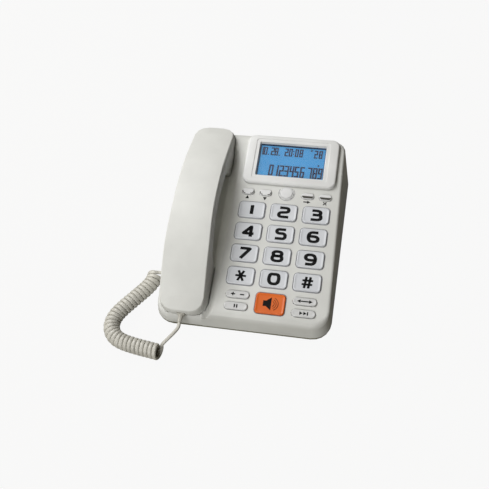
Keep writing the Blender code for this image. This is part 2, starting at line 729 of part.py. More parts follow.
def make_lower_case(deck, materials):
    """The bottom tray with screw posts, battery box, hook post and sound holes."""
    def outline(inset, level, grow=0.0):
        width = BASE_WIDTH - 2 * inset + grow
        length = BASE_DEPTH - 2 * inset + grow
        return ring(width, length, CORNER_RADIUS - inset, level, 5)

    rim = PARTING_HEIGHT - SEAT_GAP
    rings = [
        outline(LOWER_UNDERCUT, FOOT_HEIGHT),
        outline(0.0, rim),
        outline(CASE_WALL, rim),
        outline(LOWER_UNDERCUT + CASE_WALL, FLOOR_TOP),
    ]
    case = add_object("lower_case", loft("lower_case", [rings]), material=materials["base"])
    sunk = FLOOR_TOP - CASE_WALL / 2
    posts = [rod(SCREW_POST_WIDTH, sunk, POST_SPLIT - SEAT_GAP, 10, x, y) for x, y in screw_places()]
    room_width, room_length = battery_room()
    room_x, room_y = battery_place()
    room_top = FLOOR_TOP + CELL_WIDTH + 4 * SEAT_GAP
    wall = 2 * BATTERY_WALL
    posts.append(block(room_width + wall, room_length + wall, sunk, room_top + BATTERY_WALL, room_x, room_y))
    boolean(case, add_tool("tray_posts", loft("tray_posts", posts)), "UNION")
    hook = block(SWITCH_SIZE[0], SWITCH_SIZE[1], SWITCH_BOTTOM - SEAT_GAP - FAR, SWITCH_BOTTOM - SEAT_GAP,
                 -HANDSET_OFFSET, HOOK_ROW)
    hook_post = add_tool("hook_post", loft("hook_post", [hook]), deck)
    boolean(hook_post, add_tool("under_floor", loft("under_floor", [block(2 * FAR, 2 * FAR, -2 * FAR, sunk)])))
    boolean(case, hook_post, "UNION")
    boolean(case, add_tool("battery_room",
                           loft("battery_room", [block(room_width, room_length, -0.01, room_top, room_x, room_y)])))
    holes = []
    for x, y in screw_places():
        holes.append(rod(SCREW_WIDTH + 2 * SLIDE_GAP, 0.0, FAR, 8, x, y))
    for x, y in sound_places(SPEAKER_WIDTH / 5):
        holes.append(rod(SOUND_HOLE, 0.0, FLOOR_TOP + CASE_WALL, 8, x + HANDSET_X, y + SPEAKER_ALONG))
    boolean(case, add_tool("tray_holes", loft("tray_holes", holes)))
    sinks = []
    for x, y in screw_places():
        head = SCREW_HEAD_WIDTH + 2 * SLIDE_GAP
        sinks.append(rod(head, 0.0, FOOT_HEIGHT + SCREW_HEAD_DEPTH + 2 * SEAT_GAP, 10, x, y))
    for x, y in foot_places():
        sinks.append(rod(FOOT_WIDTH + 2 * SLIDE_GAP, 0.0, FOOT_HEIGHT + FOOT_SINK, 12, x, y))
    boolean(case, add_tool("tray_sinks", loft("tray_sinks", sinks)))


def sound_places(radius):
    """A hole in the middle and six round it."""
    around = [(radius * math.cos(math.pi * i / 3), radius * math.sin(math.pi * i / 3)) for i in range(6)]
    return [(0.0, 0.0)] + around


def foot_places():
    """Plan places of the feet."""
    x = BASE_WIDTH / 2 - FOOT_INSET
    y = BASE_DEPTH / 2 - FOOT_INSET
    return [(-x, -y), (x, -y), (x, y), (-x, y)]


def make_feet_and_screws(materials):
    """Rubber feet in shallow seats, and the screws that hold the two cases together."""
    foot = loft("foot", [[circle(FOOT_WIDTH - FOOT_SINK, 0.0), circle(FOOT_WIDTH, FOOT_SINK),
                          circle(FOOT_WIDTH, FOOT_HEIGHT + FOOT_SINK - SEAT_GAP)]])
    names = ("front_left", "front_right", "back_right", "back_left")
    for name, (x, y) in zip(names, foot_places()):
        add_object("foot_" + name, foot, None, (x, y, 0.0), materials["rubber"])
    low = FOOT_HEIGHT + SEAT_GAP
    neck = low + SCREW_HEAD_DEPTH
    screw = loft("screw", [[circle(SCREW_HEAD_WIDTH, low, 10), circle(SCREW_HEAD_WIDTH, neck, 10),
                            circle(SCREW_WIDTH, neck, 10), circle(SCREW_WIDTH, POST_SPLIT + SCREW_BITE, 10)]])
    for name, (x, y) in zip(names, screw_places()):
        add_object("screw_" + name, screw, None, (x, y, 0.0), materials["steel"])


def make_battery(materials):
    """Three cells in their box and the door under them, hung at its back edge."""
    x, y = battery_place()
    width, length = battery_room()
    cell = loft("cell", [[circle(CELL_WIDTH, -CELL_LENGTH / 2, 10), circle(CELL_WIDTH, CELL_LENGTH / 2, 10)]])
    level = FLOOR_TOP + SEAT_GAP + CELL_WIDTH / 2
    for i in range(CELL_COUNT):
        place = (x + (i - (CELL_COUNT - 1) / 2) * CELL_PITCH, y, level)
        add_object("battery_%d" % (i + 1), cell, None, place, materials["cell"], (math.pi / 2, 0.0, 0.0))
    hinge = length / 2 - SLIDE_GAP - DOOR_THICKNESS / 2
    middle = FOOT_HEIGHT + SEAT_GAP / 2 + DOOR_THICKNESS / 2
    round_edge = []
    for step in range(9):
        angle = math.radians(90 - 180 * step / 8)
        round_edge.append((math.cos(angle) * DOOR_THICKNESS / 2, math.sin(angle) * DOOR_THICKNESS / 2))
    free_edge = SLIDE_GAP - length / 2 - hinge
    round_edge += [(free_edge, -DOOR_THICKNESS / 2), (free_edge, DOOR_THICKNESS / 2)]
    half = width / 2 - SLIDE_GAP
    door = loft("battery_door", [[[Vector((side, y, z)) for y, z in round_edge] for side in (-half, half)]])
    add_object("battery_door", door, None, (x, y + hinge, middle), materials["base"])


def make_display(deck, materials):
    """Raised panel round the view, clear window under it and the LCD on the board."""
    low = SEAT_GAP
    shift = VIEW_ROW - PANEL_ROW
    top = 2 * PANEL_ROUND
    mid = top * (1 - math.sqrt(0.5))
    brow = PANEL_RISE - PANEL_ROUND * (1 - math.sqrt(0.5))
    shelf = PANEL_RISE - PANEL_STEP
    shelf_width = VIEW_WIDTH + 2 * PANEL_STEP_WIDTH
    shelf_length = VIEW_LENGTH + 2 * PANEL_STEP_WIDTH
    bevel = 2 * VIEW_BEVEL
    corner = PANEL_RADIUS - PANEL_ROUND
    rings = [
        ring(PANEL_WIDTH, PANEL_LENGTH, PANEL_RADIUS, low, 4),
        ring(PANEL_WIDTH, PANEL_LENGTH, PANEL_RADIUS, PANEL_RISE - PANEL_ROUND, 4),
        ring(PANEL_WIDTH - mid, PANEL_LENGTH - mid, PANEL_RADIUS - mid / 2, brow, 4),
        ring(PANEL_WIDTH - top, PANEL_LENGTH - top, corner, PANEL_RISE, 4),
        ring(shelf_width, shelf_length, corner / 2, PANEL_RISE, 4, 0.0, shift),
        ring(shelf_width - PANEL_STEP, shelf_length - PANEL_STEP, corner / 2, shelf, 4, 0.0, shift),
        ring(VIEW_WIDTH + bevel, VIEW_LENGTH + bevel, VIEW_BEVEL, shelf, 4, 0.0, shift),
        ring(VIEW_WIDTH, VIEW_LENGTH, VIEW_BEVEL / 2, low, 4, 0.0, shift),
    ]
    add_object("display_panel", loft("display_panel", [rings], hoop=True), deck, (0.0, PANEL_ROW, 0.0),
               materials["cream"])
    width = VIEW_WIDTH + 2 * WINDOW_LEDGE
    length = VIEW_LENGTH + 2 * WINDOW_LEDGE
    place = (0.0, VIEW_ROW, 0.0)
    window = loft("display_window", [block(width, length, -WINDOW_THICKNESS, 0.0)])
    add_object("display_window", window, deck, place, materials["window"])
    lcd = loft("lcd_module", [block(width, length, BOARD_TOP + SEAT_GAP, -WINDOW_THICKNESS - SEAT_GAP)])
    add_object("lcd_module", lcd, deck, place, materials["lcd"])


def make_board(deck, materials):
    """Main board under the deck, and the rubber mat with a dome for each key."""
    front = SPEAKER_ROW - SPEAKER_KEY_LENGTH / 2
    back = PANEL_BOTTOM + PANEL_LENGTH - BOSS_WIDTH
    board_front = front - BOSS_WIDTH * 1.45
    board = block(BOARD_WIDTH, back - board_front, BOARD_BOTTOM, BOARD_TOP, y=(back + board_front) / 2)
    add_object("main_board", loft("main_board", [board]), deck, material=materials["board"])
    mat_back = CONTROL_ROW + ROUND_KEY_WIDTH / 2 - KEY_FLANGE
    mat_width = 2 * COLUMN_PITCH + KEY_WIDTH
    sheet = block(mat_width, mat_back - front, MAT_BOTTOM, MAT_TOP, y=(mat_back + front) / 2)
    mat = add_object("keypad_mat", loft("keypad_mat", [sheet]), deck, material=materials["rubber"])
    domes = []
    for _, (x, y), _, _, _ in key_layout():
        domes.append(rod(DOME_WIDTH, MAT_TOP - MAT_THICKNESS / 2, DOME_TOP, 6, x, y))
    boolean(mat, add_tool("mat_domes", loft("mat_domes", domes), deck), "UNION")


def make_hook(deck, materials):
    """Hook plunger pressed down by the ear cup, its spring and the switch that carries it."""
    place = (-HANDSET_OFFSET, HOOK_ROW, 0.0)
    wide = HOOK_WIDTH + 2 * HOOK_FLANGE
    long = HOOK_LENGTH + 2 * HOOK_FLANGE
    low = HOOK_FLANGE_TOP - HOOK_THICKNESS
    rings = [
        ring(HOOK_PIN_WIDTH, HOOK_PIN_WIDTH, 0.0, low - HOOK_PIN_LENGTH),
        ring(HOOK_PIN_WIDTH, HOOK_PIN_WIDTH, 0.0, low),
        ring(wide, long, 0.0, low),
        ring(wide, long, 0.0, HOOK_FLANGE_TOP),
        ring(HOOK_WIDTH, HOOK_LENGTH, 0.0, HOOK_FLANGE_TOP),
        ring(HOOK_WIDTH, HOOK_LENGTH, 0.0, CUP_FACE - SEAT_GAP),
    ]
    add_object("hook_plunger", loft("hook_plunger", [rings]), deck, place, materials["cream"])
    switch = block(SWITCH_SIZE[0], SWITCH_SIZE[1], SWITCH_BOTTOM, SWITCH_TOP)
    add_object("hook_switch", loft("hook_switch", [switch]), deck, place, materials["dark"])
    radius = (SPRING_WIDTH - SPRING_WIRE) / 2
    run = SPRING_LENGTH - SPRING_WIRE
    count = SPRING_TURNS * 8
    points = []
    for i in range(count + 1):
        angle = 2 * math.pi * i / 8
        level = SPRING_TOP - SPRING_LENGTH + SPRING_WIRE / 2 + run * i / count
        points.append(Vector((radius * math.cos(angle), radius * math.sin(angle), level)))
    spring = add_object("hook_spring", tube("hook_spring", points, SPRING_WIRE, 0), deck, place)
    spring.data.materials.append(materials["steel"])


def make_loudspeaker(materials):
    """Loudspeaker on the floor under the grip, facing down through the sound holes."""
    low = FLOOR_TOP + SEAT_GAP
    top = low + SPEAKER_HEIGHT
    rings = [
        circle(SPEAKER_WIDTH, low, 16),
        circle(SPEAKER_WIDTH, low + SPEAKER_HEIGHT / 9, 16),
        circle(SPEAKER_WIDTH * 0.6, low + SPEAKER_HEIGHT / 2, 16),
        circle(SPEAKER_WIDTH * 0.64, low + SPEAKER_HEIGHT / 2, 16),
        circle(SPEAKER_WIDTH * 0.64, top, 16),
    ]
    add_object("loudspeaker", loft("loudspeaker", [rings]), None, (HANDSET_X, SPEAKER_ALONG, 0.0),
               materials["dark"])


def make_handset(handset, materials):
    """Arched handset: crowned back shell, front shell with ear and mouth cups, and what is inside."""
    def crown(angle, wall=0.0):
        lean = math.radians(angle)
        rise = (CROWN_RISE - wall) * math.sin(lean)
        return handset_ring(wall + CROWN_RUN * (1 - math.cos(lean)), lambda y: arch(y) + rise)

    back_rings = [handset_ring(SWELL_INSET, lambda y: arch(y) + CROWN_RISE + CROWN_SWELL)]
    back_rings += [crown(angle) for angle in (90, 65, 42, 20, 0)]
    back_rings.append(handset_ring(0.0, lambda y: parting(y) + SEAT_GAP))
    back_rings.append(handset_ring(HANDSET_WALL, lambda y: parting(y) + SEAT_GAP))
    back_rings += [crown(angle, HANDSET_WALL) for angle in (20, 50, 90)]
    back = add_object("handset_back", loft("handset_back", [back_rings], strip=True), handset,
                      material=materials["cream"])

    front_rings = [under_ring(angle, 0.0) for angle in (90, 60, 30, 0)]
    front_rings.append(handset_ring(0.0, parting))
    front_rings.append(handset_ring(HANDSET_WALL, parting))
    front_rings += [under_ring(angle, -HANDSET_WALL) for angle in (0, 45, 90)]
    front = add_object("handset_front", loft("handset_front", [front_rings], strip=True), handset,
                       material=materials["cream"])

    ear = HANDSET_LENGTH / 2 - CUP_LENGTH / 2
    inside = CUP_FACE + HANDSET_WALL
    holes = []
    for x, y in sound_places(EAR_HOLE_CIRCLE):
        holes.append(rod(SOUND_HOLE, CUP_FACE - 0.001, inside + 0.001, 6, x, ear + y))
    for x, y in sound_places(MOUTH_HOLE_CIRCLE)[:3]:
        holes.append(rod(SOUND_HOLE, CUP_FACE - 0.001, inside + 0.001, 6, x, y - ear))
    boolean(front, add_tool("sound_holes", loft("sound_holes", holes), handset))
    mouth_tool = add_tool("plug_mouth", plug_room("plug_mouth"), *handset_jack_place(handset))
    boolean(front, mouth_tool)
    boolean(back, mouth_tool)

    receiver = [[
        circle(RECEIVER_FACE, inside + SEAT_GAP),
        circle(RECEIVER_WIDTH, inside + RECEIVER_RIM),
        circle(RECEIVER_BACK, inside + RECEIVER_DEPTH),
    ]]
    add_object("ear_receiver", loft("ear_receiver", receiver), handset, (0.0, ear, 0.0), materials["dark"])
    capsule = [rod(MICROPHONE_WIDTH, inside + SEAT_GAP, inside + MICROPHONE_DEPTH)]
    add_object("microphone", loft("microphone", capsule), handset, (0.0, -ear, 0.0), materials["dark"])
    low = ARCH_RISE - GRIP_DEPTH + HANDSET_WALL + SEAT_GAP
    weight = [block(WEIGHT_WIDTH, WEIGHT_LENGTH, low, low + WEIGHT_THICKNESS)]
    add_object("handset_weight", loft("handset_weight", weight), handset, material=materials["steel"])
    make_handset_screws(handset, back, front, materials)


def make_handset_screws(handset, back, front, materials):
    """Two screws through the front shell into posts of the back shell."""
    along = HANDSET_LENGTH / 2 - CUP_LENGTH - CUP_RAMP - SCREW_POST_WIDTH
    floor = arch(along) - GRIP_DEPTH
    split = floor + HANDSET_WALL + 2 * SCREW_HEAD_DEPTH
    top = arch(along) + CROWN_RISE - HANDSET_WALL / 2
    screw = loft("handset_screw", [[
        circle(SCREW_HEAD_WIDTH, floor + SEAT_GAP, 10),
        circle(SCREW_HEAD_WIDTH, floor + SCREW_HEAD_DEPTH, 10),
        circle(SCREW_WIDTH, floor + SCREW_HEAD_DEPTH, 10),
        circle(SCREW_WIDTH, split + 2 * SCREW_BITE, 10),
    ]])
    for end, side in (("ear", 1), ("mouth", -1)):
        y = side * along
        post = [rod(SCREW_POST_WIDTH, split + SEAT_GAP, top, 10, 0.0, y)]
        boolean(back, add_tool("post_" + end, loft("post_" + end, post), handset), "UNION")
        pilot = [rod(SCREW_WIDTH + 2 * SLIDE_GAP, 0.0, split + 2 * SCREW_BITE + SEAT_GAP, 10, 0.0, y)]
        pilot_tool = add_tool("pilot_" + end, loft("pilot_" + end, pilot), handset)
        boolean(back, pilot_tool)
        sleeve = [rod(SCREW_POST_WIDTH + 2 * SLEEVE_WALL, floor + HANDSET_WALL / 2, split, 10, 0.0, y)]
        boolean(front, add_tool("sleeve_" + end, loft("sleeve_" + end, sleeve), handset), "UNION")
        boolean(front, pilot_tool)
        sink = [rod(SCREW_HEAD_WIDTH + 2 * SLIDE_GAP, 0.0, floor + SCREW_HEAD_DEPTH + SEAT_GAP, 10, 0.0, y)]
        boolean(front, add_tool("sink_" + end, loft("sink_" + end, sink), handset))
        add_object("handset_screw_" + end, screw, handset, (0.0, y, 0.0), materials["steel"])


def tube(name, points, width, resolution):
    """A round tube along points, closed at both ends."""
    curve = bpy.data.curves.new(name, "CURVE")
    curve.dimensions = "3D"
    curve.bevel_depth = width / 2
    curve.bevel_resolution = resolution
    curve.use_fill_caps = True
    spline = curve.splines.new("POLY")
    spline.points.add(len(points) - 1)
    for point, place in zip(spline.points, points):
        point.co = (*place, 1.0)
    return curve


def eased_route(route, step):
    """Points a short step apart on a smooth curve through the route's points."""
    ends = [2 * route[0] - route[1]] + route + [2 * route[-1] - route[-2]]
    fine = []
    for a, b, c, d in zip(ends, ends[1:], ends[2:], ends[3:]):
        count = max(int((c - b).length / step), 1)
        for i in range(count):
            t = i / count
            fine.append(0.5 * (2 * b + (c - a) * t + (2 * a - 5 * b + 4 * c - d) * t * t
                               + (3 * b - a - 3 * c + d) * t ** 3))
    return fine + [route[-1]]


def bridge(start, start_way, end, end_way, count):
    """Points of a smooth lead between two places with given directions, ends left out."""
    points = []
    pull = (end - start).length
    for i in range(1, count):
        t = i / count
        a = 2 * t ** 3 - 3 * t ** 2 + 1
        b = t ** 3 - 2 * t ** 2 + t
        c = t ** 3 - t ** 2
        points.append(a * start + (1 - a) * end + pull * (b * start_way + c * end_way))
    return points


def coil_points():
    """The helix round the coil's middle line, opened up where the line bends."""
    level = COIL_RADIUS + CORD_DIAMETER / 2 + SEAT_GAP
    line = eased_route([Vector((x, y, level)) for x, y in COIL_ROUTE], 0.0005)
    ways = [(b - a).normalized() for a, b in zip(line, line[1:])]
    ways.append(ways[-1])
    phases = [0.0]
    for i in range(1, len(line)):
        near = max(i - 8, 0)
        ahead = min(i + 8, len(line) - 1)
        span = sum((line[j + 1] - line[j]).length for j in range(near, ahead))
        bend = ways[near].angle(ways[ahead]) / span
        pitch = (CORD_DIAMETER + CURL_GAP) / (1 - COIL_RADIUS * bend)
        phases.append(phases[-1] + (line[i] - line[i - 1]).length / pitch)
    curls = math.floor(phases[-1]) - 0.25
    count = round(curls * POINTS_PER_CURL)
    points = []
    place = 0
    for i in range(count + 1):
        phase = phases[-1] * i / count
        while place < len(line) - 2 and phases[place + 1] < phase:
            place += 1
        share = (phase - phases[place]) / (phases[place + 1] - phases[place])
        centre = line[place].lerp(line[place + 1], min(share, 1.0))
        way = ways[place].lerp(ways[place + 1], min(share, 1.0)).normalized()
        side = Vector((-way.y, way.x, 0.0))
        angle = 2 * math.pi * curls * i / count
        points.append(centre + COIL_RADIUS * (math.cos(angle) * Vector((0, 0, 1)) - math.sin(angle) * side))
    return points, curls


def make_cord(materials):
    """Curly cord from the plug in the base's left wall, along the table, to the handset's plug."""
    _, wall, _ = cord_jack_place()
    out = Vector((-1.0, 0.0, 0.0))
    start = Vector((cord_wall(), wall[1], wall[2])) + out * (PLUG_OUTSIDE + BASE_BOOT_LENGTH + SEAT_GAP)
    down_slope = deck_point(0, -1, 0) - deck_point(0, 0, 0)
    tip = -HANDSET_FRONT - PLUG_OUTSIDE - BOOT_LENGTH - SEAT_GAP
    end = deck_point(-HANDSET_OFFSET, tip, HANDSET_JACK_LEVEL)
    coil, curls = coil_points()
    start_straight = start + out * CORD_DIAMETER
    end_straight = end + down_slope * CORD_DIAMETER
    first = (coil[1] - coil[0]).normalized()
    last = (coil[-1] - coil[-2]).normalized()
    points = [start, start_straight]
    points += bridge(start_straight, out, coil[0], first, 4)
    points += coil
    points += bridge(coil[-1], last, end_straight, -down_slope, 10)
    points += [end_straight, end]
    cord = add_object("curly_cord", tube("curly_cord", points, CORD_DIAMETER, 1))
    cord.data.materials.append(materials["cord"])
    report_cord(points, curls)


def report_cord(points, curls):
    """Print the cord's length, its number of curls and its least gap to itself."""
    length = 0.0
    lengths = [0.0]
    for a, b in zip(points, points[1:]):
        length += (b - a).length
        lengths.append(length)
    least = FAR
    apart = 2 * math.pi * COIL_RADIUS / 2
    for i, a in enumerate(points):
        for j in range(i + 1, len(points)):
            if lengths[j] - lengths[i] > apart:
                least = min(least, (points[j] - a).length - CORD_DIAMETER)
    print("cord length %.3f m, %.2f curls, least gap to itself %.2f mm" % (length, curls, least * 1000))


for old in list(bpy.data.objects):
    bpy.data.objects.remove(old, do_unlink=True)

MATERIALS = {
    "cream": make_material("cream_abs", "DCDCD6", 0.40),
    "base": make_material("shaded_abs", "B9B6A6", 0.50),
    "key": make_material("grey_key_caps", "C6C9D0", 0.45),
    "orange": make_material("orange_key_cap", "C8702E", 0.40),
    "window": make_material("clear_window", "DDE6EC", 0.08),
    "lcd": make_material("blue_lcd", "4F9AD2", 0.30),
    "rubber": make_material("silicone_rubber", "4A4A48", 0.80),
    "board": make_material("green_board", "2E6B45", 0.50),
    "dark": make_material("black_plastic", "262626", 0.50),
    "socket": make_material("socket_nylon", "D2D2CC", 0.50),
    "cord": make_material("cord_vinyl", "C9C6BC", 0.45),
    "cell": make_material("cell_jacket", "6F8A5A", 0.40, 0.3),
    "steel": make_material("zinc_steel", "B4B4B0", 0.35, 1.0),
}

DECK = add_frame("deck_frame", (KEYPAD_X, KEYPAD_Y, DECK_HEIGHT), DECK_TILT)
HANDSET = add_frame("handset_frame", (-HANDSET_OFFSET, HANDSET_MIDDLE, 0.0), 0.0, DECK)
make_upper_case(DECK, HANDSET, MATERIALS)
make_lower_case(DECK, MATERIALS)
make_display(DECK, MATERIALS)
make_keys(DECK, MATERIALS)
make_board(DECK, MATERIALS)
make_hook(DECK, MATERIALS)
make_loudspeaker(MATERIALS)
make_battery(MATERIALS)
make_feet_and_screws(MATERIALS)
make_handset(HANDSET, MATERIALS)
make_sockets(HANDSET, MATERIALS)
make_cord(MATERIALS)
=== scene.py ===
"""Corded desk telephone with large keys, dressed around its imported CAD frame."""
import math

import bmesh
import bpy
from mathutils import Matrix, Vector


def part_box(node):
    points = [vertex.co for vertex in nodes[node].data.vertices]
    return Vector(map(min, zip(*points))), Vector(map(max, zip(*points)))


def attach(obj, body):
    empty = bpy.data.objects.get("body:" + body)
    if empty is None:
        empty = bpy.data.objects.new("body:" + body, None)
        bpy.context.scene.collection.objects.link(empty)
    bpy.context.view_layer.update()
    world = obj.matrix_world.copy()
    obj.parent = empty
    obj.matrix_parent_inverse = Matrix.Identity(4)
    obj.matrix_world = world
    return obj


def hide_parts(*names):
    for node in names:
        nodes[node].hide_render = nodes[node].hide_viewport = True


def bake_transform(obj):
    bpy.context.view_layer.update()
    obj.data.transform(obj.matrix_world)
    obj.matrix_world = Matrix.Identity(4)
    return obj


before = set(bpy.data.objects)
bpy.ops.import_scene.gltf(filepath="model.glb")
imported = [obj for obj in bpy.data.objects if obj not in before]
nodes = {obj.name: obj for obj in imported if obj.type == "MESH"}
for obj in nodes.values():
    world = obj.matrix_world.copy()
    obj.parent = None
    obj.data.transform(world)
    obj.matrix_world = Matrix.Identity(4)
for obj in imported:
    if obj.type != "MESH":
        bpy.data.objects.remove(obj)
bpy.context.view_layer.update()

# Camera: set where the photograph was taken from, above the front right of the telephone and
# looking down on the deck, with a lens as long as the frame is wide 1.44 times over.
camera = bpy.data.objects.new("camera", bpy.data.cameras.new("camera"))
camera.data.sensor_width = 36.0
camera.data.lens = 51.83
camera.data.clip_start = 0.01
camera_right = Vector((0.98170531, 0.17231619, -0.081005))
camera_up = Vector((-0.0975147, 0.8204062, 0.56340442))
camera_back = Vector((0.16354071, -0.54519794, 0.82220049))
camera.matrix_world = Matrix.Translation((0.10918, -0.41453, 0.62284)) @ Matrix(
    (camera_right, camera_up, camera_back)).transposed().to_4x4()
bpy.context.scene.collection.objects.link(camera)
bpy.context.scene.camera = camera

# Curly cord: a flat four-wire lead in a soft vinyl sleeve, wound hot on a rod so that it springs
# back into touching curls. It leaves the plug in the base's left wall, lies on the table in an
# arc and comes up over the front lip to the plug in the handset's mouth end.
CORD_DIAMETER = 0.0034
CORD_WIDE = 0.0042
CORD_THICK = 0.0030
CORD_SIDES = 14
COIL_RADIUS = 0.0067
CURL_GAP = 0.0001
POINTS_PER_CURL = 24
TABLE_GAP = 0.0003
COIL_ROUTE = [
    (-0.0990, -0.0570), (-0.1003, -0.0652), (-0.1046, -0.0736), (-0.1100, -0.0815), (-0.1155, -0.0893),
    (-0.1212, -0.0975), (-0.1262, -0.1060), (-0.1286, -0.1143), (-0.1276, -0.1230), (-0.1222, -0.1308),
    (-0.1130, -0.1356), (-0.0990, -0.1386), (-0.0860, -0.1404), (-0.0740, -0.1420),
]


def linear(colour):
    """Linear RGBA from an sRGB hex colour."""
    channels = []
    for start in (0, 2, 4):
        value = int(colour[start:start + 2], 16) / 255
        channels.append(value / 12.92 if value <= 0.04045 else ((value + 0.055) / 1.055) ** 2.4)
    return (*channels, 1.0)


def add_node(material, kind, settings=None, links=None):
    """Add a node, set its properties and sockets by name, and link outputs of others into it."""
    tree = material.node_tree
    node = tree.nodes.new(kind)
    for name, value in (settings or {}).items():
        if isinstance(name, str) and hasattr(node, name):
            setattr(node, name, value)
        else:
            node.inputs[name].default_value = value
    for socket, (source, output) in (links or {}).items():
        tree.links.new(source.outputs[output], node.inputs[socket])
    return node


def new_material(name):
    """An empty node material and its output node."""
    material = bpy.data.materials.new(name)
    material.use_nodes = True
    material.node_tree.nodes.clear()
    return material, add_node(material, "ShaderNodeOutputMaterial")


def moulded_plastic(name, low, high, roughness, patch, grit, relief, ior=1.5):
    """Moulded plastic: two near colours in soft patches, and a fine spark-eroded grain.

    patch and grit are sizes in metres, and relief is the grain's height in metres.
    """
    material, output = new_material(name)
    where = add_node(material, "ShaderNodeTexCoord")
    clouds = add_node(material, "ShaderNodeTexNoise", {"Scale": 1 / patch, "Detail": 3.0},
                      {"Vector": (where, "Object")})
    grain = add_node(material, "ShaderNodeTexNoise", {"Scale": 1 / grit, "Detail": 2.0},
                     {"Vector": (where, "Object")})
    tint = add_node(material, "ShaderNodeValToRGB", {}, {"Fac": (clouds, "Fac")})
    tint.color_ramp.elements[0].position = 0.35
    tint.color_ramp.elements[0].color = linear(low)
    tint.color_ramp.elements[1].position = 0.65
    tint.color_ramp.elements[1].color = linear(high)
    gloss = add_node(material, "ShaderNodeMapRange",
                     {"To Min": roughness - 0.05, "To Max": roughness + 0.05}, {"Value": (grain, "Fac")})
    bump = add_node(material, "ShaderNodeBump", {"Strength": 0.25, "Distance": relief},
                    {"Height": (grain, "Fac")})
    shader = add_node(material, "ShaderNodeBsdfPrincipled", {"IOR": ior},
                      {"Base Color": (tint, "Color"), "Roughness": (gloss, "Result"),
                       "Normal": (bump, "Normal")})
    material.node_tree.links.new(shader.outputs["BSDF"], output.inputs["Surface"])
    return material


def dress(piece, material):
    """Give a piece its material."""
    piece.data.materials.clear()
    piece.data.materials.append(material)


def add_mesh(name, points, faces, smooth_angle=35.0):
    """A mesh piece from points and faces, turned outwards and shaded smooth below an angle."""
    mesh = bpy.data.meshes.new(name)
    mesh.from_pydata([tuple(point) for point in points], [], faces)
    work = bmesh.new()
    work.from_mesh(mesh)
    bmesh.ops.recalc_face_normals(work, faces=work.faces)
    work.to_mesh(mesh)
    work.free()
    mesh.shade_smooth()
    mesh.set_sharp_from_angle(angle=math.radians(smooth_angle))
    piece = bpy.data.objects.new(name, mesh)
    bpy.context.scene.collection.objects.link(piece)
    return piece


def loft(name, rings, smooth_angle=35.0, hoop=False):
    """A closed body through rings of points, its ends filled, or joined round if hoop is set."""
    count = len(rings[0])
    points = [point for ring in rings for point in ring]
    faces = []
    spans = len(rings) if hoop else len(rings) - 1
    for row in range(spans):
        low = row * count
        high = (row + 1) % len(rings) * count
        for i in range(count):
            j = (i + 1) % count
            faces.append((low + i, low + j, high + j, high + i))
    if not hoop:
        faces.append(tuple(range(count)))
        faces.append(tuple(range((len(rings) - 1) * count, len(rings) * count)))
    return add_mesh(name, points, faces, smooth_angle)


def flat_lead(name, path, broads, widths):
    """A flat lead along a path, given which way its broad side lies and how broad it is."""
    rings = []
    for i, point in enumerate(path):
        way = (path[min(i + 1, len(path) - 1)] - path[max(i - 1, 0)]).normalized()
        broad = (broads[i] - way * broads[i].dot(way)).normalized()
        thin = way.cross(broad)
        ring = []
        for step in range(CORD_SIDES):
            angle = 2 * math.pi * step / CORD_SIDES
            across = math.copysign(abs(math.cos(angle)) ** 0.75, math.cos(angle)) * widths[i] / 2
            up = math.copysign(abs(math.sin(angle)) ** 0.75, math.sin(angle)) * CORD_THICK / 2
            ring.append(point + broad * across + thin * up)
        rings.append(ring)
    return loft(name, rings, 60.0)


def eased_route(route, step):
    """Points a short step apart on a smooth curve through the route's points."""
    ends = [2 * route[0] - route[1]] + route + [2 * route[-1] - route[-2]]
    fine = []
    for a, b, c, d in zip(ends, ends[1:], ends[2:], ends[3:]):
        count = max(int((c - b).length / step), 1)
        for i in range(count):
            t = i / count
            fine.append(0.5 * (2 * b + (c - a) * t + (2 * a - 5 * b + 4 * c - d) * t * t
                               + (3 * b - a - 3 * c + d) * t ** 3))
    return fine + [route[-1]]


def lead(start, start_way, end, end_way, count, stiff):
    """Points of a smooth lead between two places with given directions, ends left out."""
    points = []
    pull = (end - start).length * stiff
    for i in range(1, count):
        t = i / count
        a = 2 * t ** 3 - 3 * t ** 2 + 1
        b = t ** 3 - 2 * t ** 2 + t
        c = t ** 3 - t ** 2
        points.append(a * start + (1 - a) * end + pull * (b * start_way + c * end_way))
    return points


def coil():
    """Points of the helix, the way its broad side lies at each and the room for it there."""
    level = COIL_RADIUS + CORD_DIAMETER / 2 + TABLE_GAP
    line = eased_route([Vector((x, y, level)) for x, y in COIL_ROUTE], 0.0005)
    ways = [(b - a).normalized() for a, b in zip(line, line[1:])]
    ways.append(ways[-1])
    turns = [0.0]
    bends = [Vector((0.0, 0.0, 0.0))]
    for i in range(1, len(line)):
        near = max(i - 8, 0)
        ahead = min(i + 8, len(line) - 1)
        span = sum((line[j + 1] - line[j]).length for j in range(near, ahead))
        bends.append((ways[ahead] - ways[near]) / span)
        turns.append(turns[-1] + (line[i] - line[i - 1]).length / (CORD_WIDE + CURL_GAP))
    curls = math.floor(turns[-1]) - 0.25
    count = round(curls * POINTS_PER_CURL)
    points = []
    broads = []
    widths = []
    place = 0
    for i in range(count + 1):
        turn = turns[-1] * i / count
        while place < len(line) - 2 and turns[place + 1] < turn:
            place += 1
        share = min((turn - turns[place]) / (turns[place + 1] - turns[place]), 1.0)
        centre = line[place].lerp(line[place + 1], share)
        way = ways[place].lerp(ways[place + 1], share).normalized()
        side = Vector((-way.y, way.x, 0.0))
        angle = 2 * math.pi * curls * i / count
        arm = COIL_RADIUS * (math.cos(angle) * Vector((0.0, 0.0, 1.0)) - math.sin(angle) * side)
        room = CORD_WIDE * (1 - bends[place].dot(arm))
        points.append(centre + arm)
        broads.append(way)
        widths.append(min(room, CORD_WIDE * 1.2))
    return points, broads, widths


